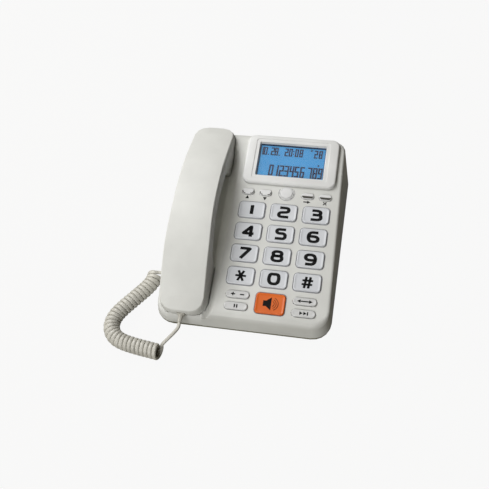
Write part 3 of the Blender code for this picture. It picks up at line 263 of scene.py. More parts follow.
DECK_TILT = math.radians(10.0)
DECK_PLACE = Vector((0.02785, -0.02515, 0.040))
HANDSET_OFFSET = 0.0860


def deck(x, y, z):
    """World place of a point in the deck's own frame, at the middle of the dial keys."""
    return Matrix.Rotation(DECK_TILT, 3, "X") @ Vector((x, y, z)) + DECK_PLACE


plug_low, plug_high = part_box("base_plug")
cord_start = Vector((plug_low.x - TABLE_GAP, (plug_low.y + plug_high.y) / 2,
                     (plug_low.z + plug_high.z) / 2))
cord_out = Vector((-1.0, 0.0, 0.0))
cord_end = deck(-HANDSET_OFFSET, -0.0905, -0.0040)
cord_in = deck(0.0, 1.0, 0.0) - DECK_PLACE
curls, broads, widths = coil()
start_straight = cord_start + cord_out * CORD_DIAMETER
end_straight = cord_end - cord_in * CORD_DIAMETER
first_lead = lead(start_straight, cord_out, curls[0], (curls[1] - curls[0]).normalized(), 8, 1.0)
last_lead = lead(curls[-1], (curls[-1] - curls[-2]).normalized(), end_straight, cord_in, 24, 0.6)
cord_path = [cord_start, start_straight] + first_lead + curls + last_lead + [end_straight, cord_end]
ahead = len(first_lead) + 2
behind = len(last_lead) + 2
broads = [broads[0]] * ahead + broads + [broads[-1]] * behind
widths = [CORD_DIAMETER] * ahead + widths + [CORD_DIAMETER] * behind

# Soft vinyl: even and slightly glossy, with a faint grain from the extruder, drawn at 1.5 mm so
# that it shows. The shaded sides go to a warm grey.
cord_vinyl = moulded_plastic("cream_vinyl", "C0BEB6", "C9C7BF", 0.42, 0.012, 0.0015, 0.00001)
cord = flat_lead("curly_cord_sleeve", cord_path, broads, widths)
dress(cord, cord_vinyl)
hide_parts("curly_cord")
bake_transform(cord)
for plug in ("base_plug", "handset_plug"):
    dress(nodes[plug], cord_vinyl)

# Upper case: one injection moulding in cream ABS with a raised deck for the keys and display and
# a lower cradle for the handset. Its spark-eroded skin is satin, and age has warmed it a little.
cream_abs = moulded_plastic("cream_moulded_abs", "D2D3D0", "DADBD8", 0.52, 0.030, 0.0012, 0.00004)


def soften(piece, width, angle=40.0):
    """Join a CAD node's facets, ease its sharp edges and shade it smooth below an angle."""
    for polygon in piece.data.polygons:
        polygon.use_smooth = True
    if "custom_normal" in piece.data.attributes:
        piece.data.attributes.remove(piece.data.attributes["custom_normal"])
    weld = piece.modifiers.new("joined", "WELD")
    weld.merge_threshold = 0.000002
    if width:
        bevel = piece.modifiers.new("eased", "BEVEL")
        bevel.width = width
        bevel.segments = 2
        bevel.limit_method = "ANGLE"
        bevel.angle_limit = math.radians(angle)
        bevel.use_clamp_overlap = True
    split = piece.modifiers.new("creased", "EDGE_SPLIT")
    split.split_angle = math.radians(angle)
    flats = piece.modifiers.new("flats", "WEIGHTED_NORMAL")
    flats.weight = 80
    return piece


dress(soften(nodes["upper_case"], 0.0), cream_abs)
dress(soften(nodes["hook_plunger"], 0.0003), cream_abs)

# Lower case: the tray under the parting line and the battery door in it, moulded in the same
# material but left rougher. It always lies in shade, and its dark olive colour is painted shade.
shade_painted_tray_abs = moulded_plastic("painted_shade_moulded_abs", "76745F", "82806C", 0.60, 0.030, 0.0012, 0.00005)
for name in ("lower_case", "battery_door"):
    dress(soften(nodes[name], 0.0), shade_painted_tray_abs)

# Feet and key mat: dark silicone rubber, pressed in moulds and dull all over. The feet sit in round
# sinks in the tray, and the mat lies on the board under the keys.
silicone = moulded_plastic("dark_silicone_rubber", "3E3E3C", "4C4C4A", 0.80, 0.010, 0.0008, 0.00005, 1.41)
for name in ("foot_front_left", "foot_front_right", "foot_back_right", "foot_back_left", "keypad_mat"):
    dress(soften(nodes[name], 0.0), silicone)


# Screws, hook spring and handset weight: zinc-plated steel, turned or drawn, with a bluish sheen
# and fine marks, drawn at 0.8 mm.
def plated_steel(name, low, high):
    """Plated steel with a slightly patchy roughness."""
    material, output = new_material(name)
    where = add_node(material, "ShaderNodeTexCoord")
    marks = add_node(material, "ShaderNodeTexNoise", {"Scale": 1 / 0.0008, "Detail": 3.0},
                     {"Vector": (where, "Object")})
    tint = add_node(material, "ShaderNodeValToRGB", {}, {"Fac": (marks, "Fac")})
    tint.color_ramp.elements[0].color = linear(low)
    tint.color_ramp.elements[1].color = linear(high)
    gloss = add_node(material, "ShaderNodeMapRange", {"To Min": 0.25, "To Max": 0.45},
                     {"Value": (marks, "Fac")})
    shader = add_node(material, "ShaderNodeBsdfPrincipled", {"Metallic": 1.0},
                      {"Base Color": (tint, "Color"), "Roughness": (gloss, "Result")})
    material.node_tree.links.new(shader.outputs["BSDF"], output.inputs["Surface"])
    return material


zinc = plated_steel("zinc_plated_steel", "A8ABAE", "C0C2C4")
for name in nodes:
    if "screw" in name or name in ("hook_spring", "handset_weight"):
        dress(soften(nodes[name], 0.0), zinc)

# Works inside: board, hook switch, loudspeaker, receiver, microphone, sockets and cells, seen only
# through openings or with the case apart. The laminate is a half-gloss green, the capsules are
# satin black, the sockets milky and the cells' jackets smooth.
board_laminate = moulded_plastic("green_glass_fibre_board", "285F3D", "347850", 0.45, 0.004, 0.0010,
                                 0.00003)
dress(nodes["main_board"], board_laminate)
black_abs = moulded_plastic("black_moulded_abs", "1E1E1E", "2C2C2C", 0.50, 0.008, 0.0008, 0.00004)
for name in ("hook_switch", "loudspeaker", "ear_receiver", "microphone"):
    dress(soften(nodes[name], 0.0), black_abs)
nylon = moulded_plastic("off_white_nylon", "C8C8C0", "D4D4CC", 0.50, 0.008, 0.0008, 0.00003)
for name in ("line_jack", "cord_jack", "handset_jack"):
    dress(nodes[name], nylon)
cell_jacket = moulded_plastic("printed_cell_jacket", "5E7A4A", "6E8C58", 0.35, 0.006, 0.0008, 0.00002)
for name in ("battery_1", "battery_2", "battery_3"):
    dress(soften(nodes[name], 0.0), cell_jacket)

# Display: a pale frame clipped on the deck, a clear window under it and a backlit LCD. The lit
# polariser is an even blue with a slightly brighter middle, and the digits on it are navy.
panel_abs = moulded_plastic("white_moulded_abs", "DFE0E0", "E6E7E7", 0.38, 0.030, 0.0012, 0.00003)
PANEL_BOTTOM = 0.0677
PANEL_WIDTH = 0.0980
PANEL_LENGTH = 0.0583
PANEL_RISE = 0.0036
PANEL_FOOT = 0.0003
PANEL_ROUND = 0.0022
PANEL_RADIUS = 0.008
PANEL_STEP = 0.0005
VIEW_ROW = 0.0973
VIEW_WIDTH = 0.070
VIEW_LENGTH = 0.039
VIEW_BEVEL = 0.0008
panel_row = PANEL_BOTTOM + PANEL_LENGTH / 2


def rounded(width, length, radius, x, y, z, steps=6):
    """World points of a rounded rectangle on the deck."""
    points = []
    for turn, (sx, sy) in enumerate(((1, -1), (1, 1), (-1, 1), (-1, -1))):
        for step in range(steps + 1):
            angle = math.radians(90 * (turn - 1) + 90 * step / steps)
            across = x + sx * (width / 2 - radius) + radius * math.cos(angle)
            along = y + sy * (length / 2 - radius) + radius * math.sin(angle)
            points.append(deck(across, along, z))
    return points


panel_rings = [rounded(PANEL_WIDTH, PANEL_LENGTH, PANEL_RADIUS, 0.0, panel_row, PANEL_FOOT, 8)]
for step in range(7):
    lean = math.radians(15 * step)
    inset = PANEL_ROUND * (1 - math.cos(lean))
    level = PANEL_RISE - PANEL_ROUND * (1 - math.sin(lean))
    panel_rings.append(rounded(PANEL_WIDTH - 2 * inset, PANEL_LENGTH - 2 * inset, PANEL_RADIUS - inset,
                               0.0, panel_row, level, 8))
for grow, radius, level in ((0.0090, 0.0029, PANEL_RISE), (0.0084, 0.0027, PANEL_RISE - PANEL_STEP),
                            (2 * VIEW_BEVEL, 0.0008, PANEL_RISE - PANEL_STEP), (0.0, 0.0004, PANEL_FOOT)):
    panel_rings.append(rounded(VIEW_WIDTH + grow, VIEW_LENGTH + grow, radius, 0.0, VIEW_ROW, level, 8))
panel = loft("display_frame", panel_rings, 40.0, True)
dress(panel, panel_abs)
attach(panel, "base")
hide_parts("display_panel")

window_acrylic, window_output = new_material("clear_acrylic")
window_where = add_node(window_acrylic, "ShaderNodeTexCoord")
window_haze = add_node(window_acrylic, "ShaderNodeTexNoise", {"Scale": 1 / 0.020, "Detail": 2.0},
                       {"Vector": (window_where, "Object")})
window_gloss = add_node(window_acrylic, "ShaderNodeMapRange", {"To Min": 0.02, "To Max": 0.05},
                        {"Value": (window_haze, "Fac")})
window_shader = add_node(window_acrylic, "ShaderNodeBsdfPrincipled",
                         {"Base Color": linear("F4F8FA"), "IOR": 1.49, "Transmission Weight": 1.0},
                         {"Roughness": (window_gloss, "Result")})
window_acrylic.node_tree.links.new(window_shader.outputs["BSDF"], window_output.inputs["Surface"])
dress(nodes["display_window"], window_acrylic)

lcd_glass, lcd_output = new_material("backlit_blue_lcd")
lcd_where = add_node(lcd_glass, "ShaderNodeTexCoord")
lcd_cells = add_node(lcd_glass, "ShaderNodeTexNoise", {"Scale": 1 / 0.025, "Detail": 1.0},
                     {"Vector": (lcd_where, "Object")})
lcd_tint = add_node(lcd_glass, "ShaderNodeValToRGB", {}, {"Fac": (lcd_cells, "Fac")})
lcd_tint.color_ramp.elements[0].color = linear("2C7FB4")
lcd_tint.color_ramp.elements[1].color = linear("348ABE")
lcd_shader = add_node(lcd_glass, "ShaderNodeBsdfPrincipled",
                      {"Roughness": 0.35, "IOR": 1.5, "Emission Strength": 0.40},
                      {"Base Color": (lcd_tint, "Color"), "Emission Color": (lcd_tint, "Color")})
lcd_glass.node_tree.links.new(lcd_shader.outputs["BSDF"], lcd_output.inputs["Surface"])
dress(nodes["lcd_module"], lcd_glass)

# Figures on the display: seven-segment numbers for a date, a time and a row of digits, each
# segment a thin bar that meets its neighbours, as the LCD's electrodes are etched.
SEGMENTS = {
    "0": "abcdef", "1": "bc", "2": "abged", "3": "abgcd", "4": "fgbc",
    "5": "afgcd", "6": "afgedc", "7": "abc", "8": "abcdefg", "9": "abfgcd",
}
FIGURE_LEVEL = -0.00178
FIGURE_RELIEF = 0.00008
figure_points = []
figure_faces = []


def slab(outline, level, relief, points, faces):
    """Add a thin flat body with a given outline to lists of points and faces."""
    first = len(points)
    count = len(outline)
    for height in (level, level + relief):
        points += [deck(x, y, height) for x, y in outline]
    faces.append(tuple(range(first, first + count)))
    faces.append(tuple(range(first + count, first + 2 * count)))
    for i in range(count):
        j = (i + 1) % count
        faces.append((first + i, first + j, first + count + j, first + count + i))


def rectangle(x, y, width, length):
    """Outline of a plain rectangle."""
    return [(x - width / 2, y - length / 2), (x + width / 2, y - length / 2),
            (x + width / 2, y + length / 2), (x - width / 2, y + length / 2)]


def figure(symbol, x, y, width, height, stroke):
    """Seven-segment digit with its lower left corner at x and y, leaning a little."""
    lean = 0.03
    ends = {
        "a": ((0, 1), (1, 1)), "b": ((1, 1), (1, 0.5)), "c": ((1, 0.5), (1, 0)),
        "d": ((0, 0), (1, 0)), "e": ((0, 0.5), (0, 0)), "f": ((0, 1), (0, 0.5)),
        "g": ((0, 0.5), (1, 0.5)),
    }
    for segment in SEGMENTS[symbol]:
        (ax, ay), (bx, by) = ends[segment]
        start = Vector((x + ax * width + lean * ay * height, y + ay * height))
        end = Vector((x + bx * width + lean * by * height, y + by * height))
        tip = (end - start).normalized() * (stroke / 2)
        side = Vector((-tip.y, tip.x))
        outline = [start - tip - side, end + tip - side, end + tip + side, start - tip + side]
        slab(outline, FIGURE_LEVEL, FIGURE_RELIEF, figure_points, figure_faces)


def figure_dot(x, y, size):
    """A square dot."""
    slab(rectangle(x, y, size, size), FIGURE_LEVEL, FIGURE_RELIEF, figure_points, figure_faces)


small_row = VIEW_ROW + 0.0078
small_places = (-0.0345, -0.0306, -0.0229, -0.0189, -0.0081, -0.0037, 0.0029, 0.0076, 0.0234, 0.0283)
for place, symbol in zip(small_places, "1028200828"):
    figure(symbol, place, small_row, 0.0024, 0.0082, 0.0014)
figure_dot(-0.0260, small_row, 0.0013)
figure_dot(-0.0142, small_row, 0.0013)
figure_dot(0.0006, small_row + 0.0025, 0.0012)
figure_dot(0.0008, small_row + 0.0060, 0.0012)
figure_dot(0.0196, small_row + 0.0082, 0.0018)
large_row = VIEW_ROW - 0.0167
large_places = (-0.0222, -0.0167, -0.0111, -0.0057, -0.0002, 0.0050, 0.0108, 0.0188, 0.0242, 0.0296)
for place, symbol in zip(large_places, "0123456789"):
    figure(symbol, place, large_row, 0.0031, 0.0114, 0.0017)
figure_dot(0.0286, large_row + 0.0150, 0.0018)
# Bars along the top, left and right of the view: the LCD's dark border, broadest at the top and left as
# painted shade from the walls of the window's recess.
for x, y, width, length in ((0.0, VIEW_ROW + VIEW_LENGTH / 2 - 0.0002, VIEW_WIDTH, 0.0016),
                            (-VIEW_WIDTH / 2 + 0.0002, VIEW_ROW, 0.0010, VIEW_LENGTH - 0.0026),
                            (VIEW_WIDTH / 2 - 0.0002, VIEW_ROW, 0.0008, VIEW_LENGTH - 0.0026)):
    slab(rectangle(x, y, width, length), FIGURE_LEVEL, FIGURE_RELIEF, figure_points, figure_faces)
liquid_crystal_and_shade_ink = moulded_plastic("dark_liquid_crystal_and_painted_shade", "10183E", "141E48", 0.60, 0.010, 0.0010, 0.00001)
lcd_figures = add_mesh("display_figures", figure_points, figure_faces)
dress(lcd_figures, liquid_crystal_and_shade_ink)
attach(lcd_figures, "base")

# Keys: moulded caps in pale grey ABS that stand a little proud of the deck, satin on the dial and
# glossier on the orange and white ones. Each has an eased top edge, most have a shallow dish for the
# finger, and the flange is held under the deck.
KEY_PROUD = 0.0014
KEY_FOOT = -0.0020
KEY_EASE = 0.0009
DIAL_DISH = 0.0004
PILL_DISH = 0.0003
COLUMN = 0.033
TOP_ROW = 0.03675
ROW = 0.0245
DIAL_WIDTH = 0.0268
DIAL_LENGTH = 0.0180
DIAL_RADIUS = 0.0035
SPEAKER_WIDTH = 0.0290
SPEAKER_LENGTH = 0.0210
SPEAKER_ROW = -0.06245
FUNCTION_STEP = 0.00605
CONTROL_ROW = 0.0579
OVAL_INNER = 0.0219
OVAL_OUTER = 0.0402
ROUND_ROW = CONTROL_ROW + 0.0014
dial_keys = []
for row, words in enumerate((("1", "2", "3"), ("4", "5", "6"), ("7", "8", "9"), ("star", "0", "hash"))):
    for column, word in enumerate(words):
        dial_keys.append((word, (column - 1) * COLUMN, TOP_ROW - row * ROW))
key_abs = moulded_plastic("pale_grey_moulded_abs", "CFD2D8", "D6D9DE", 0.52, 0.020, 0.0010, 0.00003)
pill_abs = moulded_plastic("light_grey_moulded_abs", "CECFD0", "D5D6D6", 0.45, 0.020, 0.0010, 0.00003)
white_abs = moulded_plastic("white_key_abs", "DCDDDE", "E4E5E6", 0.38, 0.020, 0.0010, 0.00003)
orange_abs = moulded_plastic("orange_moulded_abs", "D8621A", "E26C20", 0.40, 0.020, 0.0010, 0.00003)


def key_cap(name, x, y, width, length, radius, dish):
    """A key cap with an eased top edge, replacing the plain CAD key."""
    rings = [rounded(width, length, radius, x, y, KEY_FOOT)]
    for step in range(5):
        lean = math.radians(22.5 * step)
        inset = KEY_EASE * (1 - math.cos(lean))
        level = KEY_PROUD - KEY_EASE * (1 - math.sin(lean))
        rings.append(rounded(width - 2 * inset, length - 2 * inset, radius - inset, x, y, level))
    for further, share in ((0.0002, 0.0), (0.0008, 0.5), (0.0014, 0.9), (0.0024, 1.0)):
        inset = KEY_EASE + further
        rings.append(rounded(width - 2 * inset, length - 2 * inset, max(radius - inset, 0.0003), x, y,
                             KEY_PROUD - dish * share))
    cap = loft(name + "_cap", rings)
    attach(cap, name)
    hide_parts(name)
    return cap


for word, x, y in dial_keys:
    cap = key_cap("key_" + word, x, y, DIAL_WIDTH, DIAL_LENGTH, DIAL_RADIUS, DIAL_DISH)
    dress(cap, key_abs)
for name, x, y in (("volume_key", -COLUMN, FUNCTION_STEP), ("hold_key", -COLUMN, -FUNCTION_STEP),
                   ("flash_key", COLUMN, FUNCTION_STEP), ("redial_key", COLUMN, -FUNCTION_STEP)):
    cap = key_cap(name, x, SPEAKER_ROW + y, 0.0233, 0.0075, 0.00374, PILL_DISH)
    dress(cap, pill_abs)
for name, x in (("up_key", -OVAL_OUTER), ("down_key", -OVAL_INNER),
                ("out_key", OVAL_INNER), ("delete_key", OVAL_OUTER)):
    cap = key_cap(name, x, CONTROL_ROW, 0.0129, 0.0066, 0.00329, 0.0)
    dress(cap, white_abs)
round_rings = []
for radius, level in ((0.0073, KEY_FOOT), (0.0073, 0.0004), (0.0070, 0.0007), (0.0065, 0.0007),
                      (0.0061, 0.0002), (0.0060, 0.0009), (0.0056, 0.0013), (0.0046, KEY_PROUD),
                      (0.0020, KEY_PROUD)):
    round_rings.append(rounded(2 * radius, 2 * radius, radius * 0.999, 0.0, ROUND_ROW, level, 8))
cap = loft("round_key_cap", round_rings)
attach(cap, "round_key")
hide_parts("round_key")
dress(cap, white_abs)
cap = key_cap("speaker_key", 0.0, SPEAKER_ROW, SPEAKER_WIDTH, SPEAKER_LENGTH, DIAL_RADIUS, DIAL_DISH)
dress(cap, orange_abs)

# Rims of the key holes: the eased edge of each large hole in the deck, moulded with the upper case.
# It always lies in half shade, and its grey colour is painted shade.
painted_shade_rim_abs = moulded_plastic("painted_shade_grey_rim", "9A9BA0", "A2A3A8", 0.55, 0.010, 0.0008, 0.00001)


def hole_rim(name, x, y, width, length, radius):
    """A low hoop round a key hole, grey with painted shade."""
    rings = []
    for grow, level in ((0.0004, -0.0004), (0.0004, 0.00006), (0.0010, 0.00010), (0.0010, -0.0004)):
        rings.append(rounded(width + 2 * grow, length + 2 * grow, radius + grow, x, y, level))
    rim = loft("rim_of_hole_" + name, rings, 35.0, True)
    dress(rim, painted_shade_rim_abs)
    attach(rim, "base")


for word, x, y in dial_keys:
    hole_rim(word, x, y, DIAL_WIDTH, DIAL_LENGTH, DIAL_RADIUS)
hole_rim("speaker", 0.0, SPEAKER_ROW, SPEAKER_WIDTH, SPEAKER_LENGTH, DIAL_RADIUS)

# Marks on keys and deck: digits and plain signs pad-printed in black ink, a film of about a tenth
# of a millimetre. The dial carries bold digits, the others simple signs.
INK_RELIEF = 0.00012
INK_SET = 0.00002
RIM_SET = 0.00010
key_ink = moulded_plastic("black_pad_print", "0A0A0C", "101012", 0.75, 0.010, 0.0008, 0.00001, 1.3)


def eased_corners(corners, ease, steps=6):
    """A line through corners, each rounded off over a given distance."""
    line = [Vector(corners[0])]
    for before, corner, after in zip(corners, corners[1:], corners[2:]):
        before, corner, after = Vector(before), Vector(corner), Vector(after)
        near = min(ease, (before - corner).length * 0.49)
        far = min(ease, (after - corner).length * 0.49)
        start = corner + (before - corner).normalized() * near
        end = corner + (after - corner).normalized() * far
        for step in range(steps + 1):
            t = step / steps
            line.append((1 - t) ** 2 * start + 2 * t * (1 - t) * corner + t * t * end)
    line.append(Vector(corners[-1]))
    return line


def inked_line(line, width, x, y, low, high, points, faces):
    """Add a flat band of ink along a line round x and y, broader where the line stands upright."""
    first = len(points)
    last = len(line) - 1
    for i, place in enumerate(line):
        ahead = (line[min(i + 1, last)] - line[max(i - 1, 0)]).normalized()
        step = (line[min(i, last - 1) + 1] - line[min(i, last - 1)]).normalized()
        side = Vector((-ahead.y, ahead.x))
        reach = width / 2 / max(side.dot(Vector((-step.y, step.x))), 0.6)
        for edge, level in ((reach, low), (-reach, low), (-reach, high), (reach, high)):
            spot = place + side * edge
            points.append(deck(x + spot.x * PEN_STRETCH, y + spot.y, level))
    for row in range(last):
        a = first + 4 * row
        for i in range(4):
            j = (i + 1) % 4
            faces.append((a + i, a + j, a + 4 + j, a + 4 + i))
    faces.append((first, first + 1, first + 2, first + 3))
    faces.append(tuple(first + 4 * last + i for i in range(4)))


# Each dial figure as lines in a unit square, drawn with one broad pen: wide, with round shoulders.
FIGURES = {
    "1": ([(0.5, 0.0), (0.5, 1.0)],),
    "2": ([(0.04, 1.0), (1.0, 1.0), (1.0, 0.54), (0.0, 0.46), (0.0, 0.0), (1.04, 0.0)],),
    "3": ([(0.06, 1.0), (0.96, 1.0), (0.96, 0.53), (0.14, 0.53)],
          [(0.60, 0.53), (1.02, 0.53), (1.02, 0.0), (-0.02, 0.0)]),
    "4": ([(0.78, -0.10), (0.78, 1.0), (0.0, 0.24), (1.10, 0.24)],),
    "5": ([(1.02, 1.0), (0.08, 1.0), (0.08, 0.57), (1.0, 0.57), (1.0, 0.0), (-0.04, 0.0)],),
    "6": ([(0.98, 1.0), (0.0, 1.0), (0.0, 0.0), (1.0, 0.0), (1.0, 0.57), (0.0, 0.57), (0.0, 0.35)],),
    "7": ([(-0.02, 1.0), (1.02, 1.0), (0.14, -0.08)],),
    "8": ([(0.5, 0.53), (0.06, 0.53), (0.06, 1.0), (0.94, 1.0), (0.94, 0.53), (0.5, 0.53)],
          [(0.5, 0.53), (0.0, 0.53), (0.0, 0.0), (1.0, 0.0), (1.0, 0.53), (0.5, 0.53)]),
    "9": ([(0.02, 0.0), (1.0, 0.0), (1.0, 1.0), (0.0, 1.0), (0.0, 0.43), (1.0, 0.43), (1.0, 0.65)],),
    "0": ([(0.5, 1.0), (0.0, 1.0), (0.0, 0.0), (1.0, 0.0), (1.0, 1.0), (0.5, 1.0)],),
    "star": ([(-0.06, 0.5), (1.06, 0.5)], [(0.22, -0.02), (0.78, 1.02)], [(0.22, 1.02), (0.78, -0.02)]),
    "hash": ([(0.22, -0.08), (0.36, 1.08)], [(0.64, -0.08), (0.78, 1.08)],
             [(-0.06, 0.30), (1.02, 0.30)], [(-0.02, 0.70), (1.06, 0.70)]),
}
FIGURE_WIDTH = 0.0096
FIGURE_HEIGHT = 0.0102
PEN = 0.0029
PEN_STRETCH = 1.22


def printed_figure(word, x, y):
    """A dial figure or sign on its key, its ink let into the dish a little."""
    points = []
    faces = []
    dish = KEY_PROUD - DIAL_DISH
    ease = 0.0006 if word in "147" else 0.0026 if word in "25" else 0.0052
    pen = PEN * 0.7 if word in ("star", "hash") else PEN
    for line in FIGURES[word]:
        corners = [((a - 0.5) * FIGURE_WIDTH / PEN_STRETCH, (b - 0.5) * FIGURE_HEIGHT) for a, b in line]
        inked_line(eased_corners(corners, ease), pen, x, y, dish - 0.0002, dish + INK_RELIEF, points, faces)
    mark = add_mesh("mark_" + word, points, faces)
    dress(mark, key_ink)
    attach(mark, "key_" + word)


for word, x, y in dial_keys:
    printed_figure(word, x, y)


def printed_sign(name, outlines, level, body, ink):
    """A plain sign made of flat outlines in deck places."""
    points = []
    faces = []
    for outline in outlines:
        slab(outline, level, INK_RELIEF, points, faces)
    mark = add_mesh(name, points, faces)
    dress(mark, ink)
    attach(mark, body)
    return mark


def arc_band(x, y, radius, width, start, end, steps=10):
    """Outline of a part of a ring."""
    outer = []
    inner = []
    for step in range(steps + 1):
        angle = math.radians(start + (end - start) * step / steps)
        across, along = math.cos(angle), math.sin(angle)
        outer.append((x + (radius + width / 2) * across, y + (radius + width / 2) * along))
        inner.append((x + (radius - width / 2) * across, y + (radius - width / 2) * along))
    return outer + inner[::-1]


def bar(start, end, width):
    """Outline of a bar with pointed ends."""
    a = Vector(start)
    b = Vector(end)
    way = (b - a).normalized()
    side = Vector((-way.y, way.x)) * (width / 2)
    tip = way * (width / 2)
    return [a, a + tip - side, b - tip - side, b, b - tip + side, a + tip + side]


def triangle(x, y, size, turn):
    """Outline of a triangle pointing at an angle."""
    corners = []
    for corner in range(3):
        angle = math.radians(turn + 120 * corner)
        corners.append((x + size * math.cos(angle), y + size * math.sin(angle)))
    return corners


key_top = KEY_PROUD - DIAL_DISH - INK_SET
cone_x = -0.0024
cone = [(cone_x - 0.0046, SPEAKER_ROW - 0.0028), (cone_x - 0.0016, SPEAKER_ROW - 0.0028),
        (cone_x + 0.0034, SPEAKER_ROW - 0.0066), (cone_x + 0.0034, SPEAKER_ROW + 0.0066),
        (cone_x - 0.0016, SPEAKER_ROW + 0.0028), (cone_x - 0.0046, SPEAKER_ROW + 0.0028)]
waves = [arc_band(0.0012, SPEAKER_ROW, radius, 0.0005, -66, 66) for radius in (0.0028, 0.0047, 0.0067)]
printed_sign("mark_speaker", [cone] + waves, key_top, "speaker_key", key_ink)

pill_top = KEY_PROUD - PILL_DISH - INK_SET
upper = SPEAKER_ROW + FUNCTION_STEP
lower = SPEAKER_ROW - FUNCTION_STEP
plus = [rectangle(-COLUMN - 0.0045, upper, 0.0042, 0.0012),
        rectangle(-COLUMN - 0.0045, upper + 0.0014, 0.0012, 0.0016),
        rectangle(-COLUMN - 0.0045, upper - 0.0014, 0.0012, 0.0016)]
minus = [rectangle(-COLUMN + 0.0045, upper, 0.0042, 0.0012)]
printed_sign("mark_volume", plus + minus, pill_top, "volume_key", key_ink)
pause = [rectangle(-COLUMN - 0.0012, lower, 0.0013, 0.0042),
         rectangle(-COLUMN + 0.0012, lower, 0.0013, 0.0042)]
printed_sign("mark_hold", pause, pill_top, "hold_key", key_ink)
flash = [rectangle(COLUMN, upper, 0.0080, 0.0011), triangle(COLUMN - 0.0052, upper, 0.0021, 180),
         triangle(COLUMN + 0.0052, upper, 0.0021, 0)]
printed_sign("mark_flash", flash, pill_top, "flash_key", key_ink)
redial = [triangle(COLUMN - 0.0028, lower, 0.0021, 0), triangle(COLUMN + 0.0010, lower, 0.0021, 0),
          rectangle(COLUMN + 0.0040, lower, 0.0011, 0.0036)]
printed_sign("mark_redial", redial, pill_top, "redial_key", key_ink)


def crescent(x, y, width, length, thickness, steps=10):
    """Outline of painted shade along the lower edge of an oval key."""
    radius = length / 2
    reach = width / 2 - radius
    outer = []
    inner = []
    for side, start in ((-1, 180), (1, 270)):
        for step in range(steps + 1):
            angle = math.radians(start + 90 * step / steps)
            lift = thickness * abs(math.sin(angle))
            outer.append((x + side * reach + radius * math.cos(angle), y + radius * math.sin(angle)))
            inner.append((outer[-1][0], outer[-1][1] + lift + 0.00004))
    return outer + inner[::-1]


# Painted shade on the oval keys: dark horns at the lower ends of the up and down keys, and a dark band
# along the lower edge of the out and delete keys.
painted_shade_ink = moulded_plastic("painted_key_shade", "35332E", "403E38", 0.60, 0.010, 0.0008, 0.00001)
for name, x in (("up_key", -OVAL_OUTER), ("down_key", -OVAL_INNER)):
    horns = [arc_band(x - 0.0032, CONTROL_ROW, 0.0024, 0.0008, 165, 285),
             arc_band(x + 0.0032, CONTROL_ROW, 0.0024, 0.0008, -105, 15)]
    printed_sign("rim_of_" + name, horns, KEY_PROUD - RIM_SET, name, painted_shade_ink)
for name, x in (("out_key", OVAL_INNER), ("delete_key", OVAL_OUTER)):
    rim = crescent(x, CONTROL_ROW, 0.0117, 0.0054, 0.0024)
    printed_sign("rim_of_" + name, [rim], KEY_PROUD - RIM_SET, name, painted_shade_ink)
# The collar of the round key: a grey arc on the deck round its lower part, painted shade of a moulded
# ridge.
ring_ridge_shade = arc_band(0.0, ROUND_ROW, 0.0084, 0.0005, 150, 390, 40)
printed_sign("shade_of_ridge_round_key", [ring_ridge_shade], INK_SET, "base", painted_shade_rim_abs)
SIGN_ROW = CONTROL_ROW - 0.0066
printed_sign("mark_up", [triangle(-OVAL_OUTER, SIGN_ROW - 0.0003, 0.0023, 90)], INK_SET, "base", key_ink)
printed_sign("mark_down", [triangle(-OVAL_INNER, SIGN_ROW + 0.0003, 0.0023, 270)], INK_SET, "base", key_ink)
printed_sign("mark_out", [triangle(0.0232, SIGN_ROW, 0.0020, 0),
                          rectangle(0.0202, SIGN_ROW, 0.0040, 0.0011)], INK_SET, "base", key_ink)
cross = [bar((0.0384, SIGN_ROW - 0.0018), (0.0420, SIGN_ROW + 0.0018), 0.0011),
         bar((0.0384, SIGN_ROW + 0.0018), (0.0397, SIGN_ROW + 0.0005), 0.0011),
         bar((0.0407, SIGN_ROW - 0.0005), (0.0420, SIGN_ROW - 0.0018), 0.0011)]
printed_sign("mark_delete", cross, INK_SET, "base", key_ink)

# Handset: two shells in the same cream ABS, screwed together along a fine seam, with sound holes
# in the ear and mouth cups. It is handled, so its skin is a little smoother.
handset_abs = moulded_plastic("handled_cream_abs", "D9DAD7", "E0E1DE", 0.55, 0.030, 0.0012, 0.00003)
for name in ("handset_back", "handset_front"):
    dress(soften(nodes[name], 0.0, 50.0), handset_abs)

# Floor: a plain pale sheet that stays near white for the camera and keeps a soft shadow. It lies a
# fifth of a millimetre under the soles of the feet, so that the two never share a plane.
floor_mesh = bpy.data.meshes.new("floor")
floor_mesh.from_pydata([(-6, -6, 0), (6, -6, 0), (6, 6, 0), (-6, 6, 0)], [], [(0, 1, 2, 3)])
floor = bpy.data.objects.new("floor", floor_mesh)
floor.location.z = -0.0002
bpy.context.scene.collection.objects.link(floor)
paper, paper_output = new_material("white_studio_paper")
paper_where = add_node(paper, "ShaderNodeTexCoord")
paper_fibre = add_node(paper, "ShaderNodeTexNoise", {"Scale": 1 / 0.30, "Detail": 2.0},
                       {"Vector": (paper_where, "Object")})
paper_tint = add_node(paper, "ShaderNodeValToRGB", {}, {"Fac": (paper_fibre, "Fac")})
paper_tint.color_ramp.elements[0].color = linear("6E6A58")
paper_tint.color_ramp.elements[1].color = linear("74705E")
paper_diffuse = add_node(paper, "ShaderNodeBsdfDiffuse", {}, {"Color": (paper_tint, "Color")})
paper_glow = add_node(paper, "ShaderNodeEmission", {"Color": linear("FFFFFF"), "Strength": 1.0})
paper_ray = add_node(paper, "ShaderNodeLightPath")
paper_sheen = add_node(paper, "ShaderNodeMath", {"operation": "MULTIPLY", 1: 0.3},
                       {0: (paper_ray, "Is Glossy Ray")})
paper_seen = add_node(paper, "ShaderNodeMath", {"operation": "MAXIMUM"},
                      {0: (paper_ray, "Is Camera Ray"), 1: (paper_sheen, 0)})
paper_share = add_node(paper, "ShaderNodeMath", {"operation": "MULTIPLY", 1: 0.93}, {0: (paper_seen, 0)})
paper_mix = add_node(paper, "ShaderNodeMixShader", {},
                     {0: (paper_share, 0), 1: (paper_diffuse, 0), 2: (paper_glow, 0)})
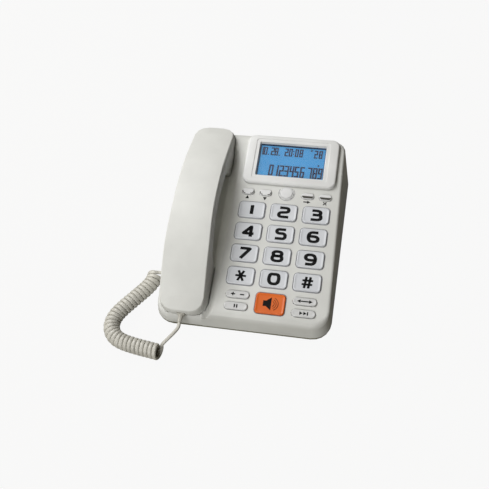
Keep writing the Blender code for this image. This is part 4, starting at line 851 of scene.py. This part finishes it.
paper.node_tree.links.new(paper_mix.outputs[0], paper_output.inputs["Surface"])
floor.data.materials.append(paper)


# Light: a large soft lamp above the back left, another from the front left, and a grey room that
# leaves the right-hand walls in shade. The room is white to the camera.
def soft_lamp(name, place, target, size, power):
    """A square area lamp aimed at a point."""
    lamp = bpy.data.lights.new(name, "AREA")
    lamp.shape = "SQUARE"
    lamp.size = size
    lamp.energy = power
    holder = bpy.data.objects.new(name, lamp)
    holder.location = place
    holder.rotation_euler = (Vector(target) - Vector(place)).to_track_quat("-Z", "Y").to_euler()
    bpy.context.scene.collection.objects.link(holder)


soft_lamp("key_lamp", (-0.63, 0.40, 0.90), (0.0, 0.0, 0.03), 0.6, 10.2)
soft_lamp("front_lamp", (-0.35, -1.25, 0.65), (0.0, 0.0, 0.03), 0.8, 9.5)
world = bpy.data.worlds.new("studio")
bpy.context.scene.world = world
world.use_nodes = True
world.node_tree.nodes.clear()
room_output = add_node(world, "ShaderNodeOutputWorld")
room_ray = add_node(world, "ShaderNodeLightPath")
room_where = add_node(world, "ShaderNodeTexCoord")
room_way = add_node(world, "ShaderNodeSeparateXYZ", {}, {"Vector": (room_where, "Generated")})
room_tint = add_node(world, "ShaderNodeValToRGB", {}, {"Fac": (room_way, "X")})
room_tint.color_ramp.elements[0].color = linear("F0E9D8")
room_tint.color_ramp.elements[1].position = 0.35
room_tint.color_ramp.elements[1].color = linear("3A3626")
room_fill = add_node(world, "ShaderNodeBackground", {"Strength": 0.33}, {"Color": (room_tint, "Color")})
room_white = add_node(world, "ShaderNodeBackground", {"Color": linear("FFFFFF"), "Strength": 1.0})
room_seen = add_node(world, "ShaderNodeMath", {"operation": "MAXIMUM"},
                     {0: (room_ray, "Is Camera Ray"), 1: (room_ray, "Is Transmission Ray")})
room_mix = add_node(world, "ShaderNodeMixShader", {},
                    {0: (room_seen, 0), 1: (room_fill, 0), 2: (room_white, 0)})
world.node_tree.links.new(room_mix.outputs[0], room_output.inputs["Surface"])
bpy.context.scene.view_settings.view_transform = "Standard"
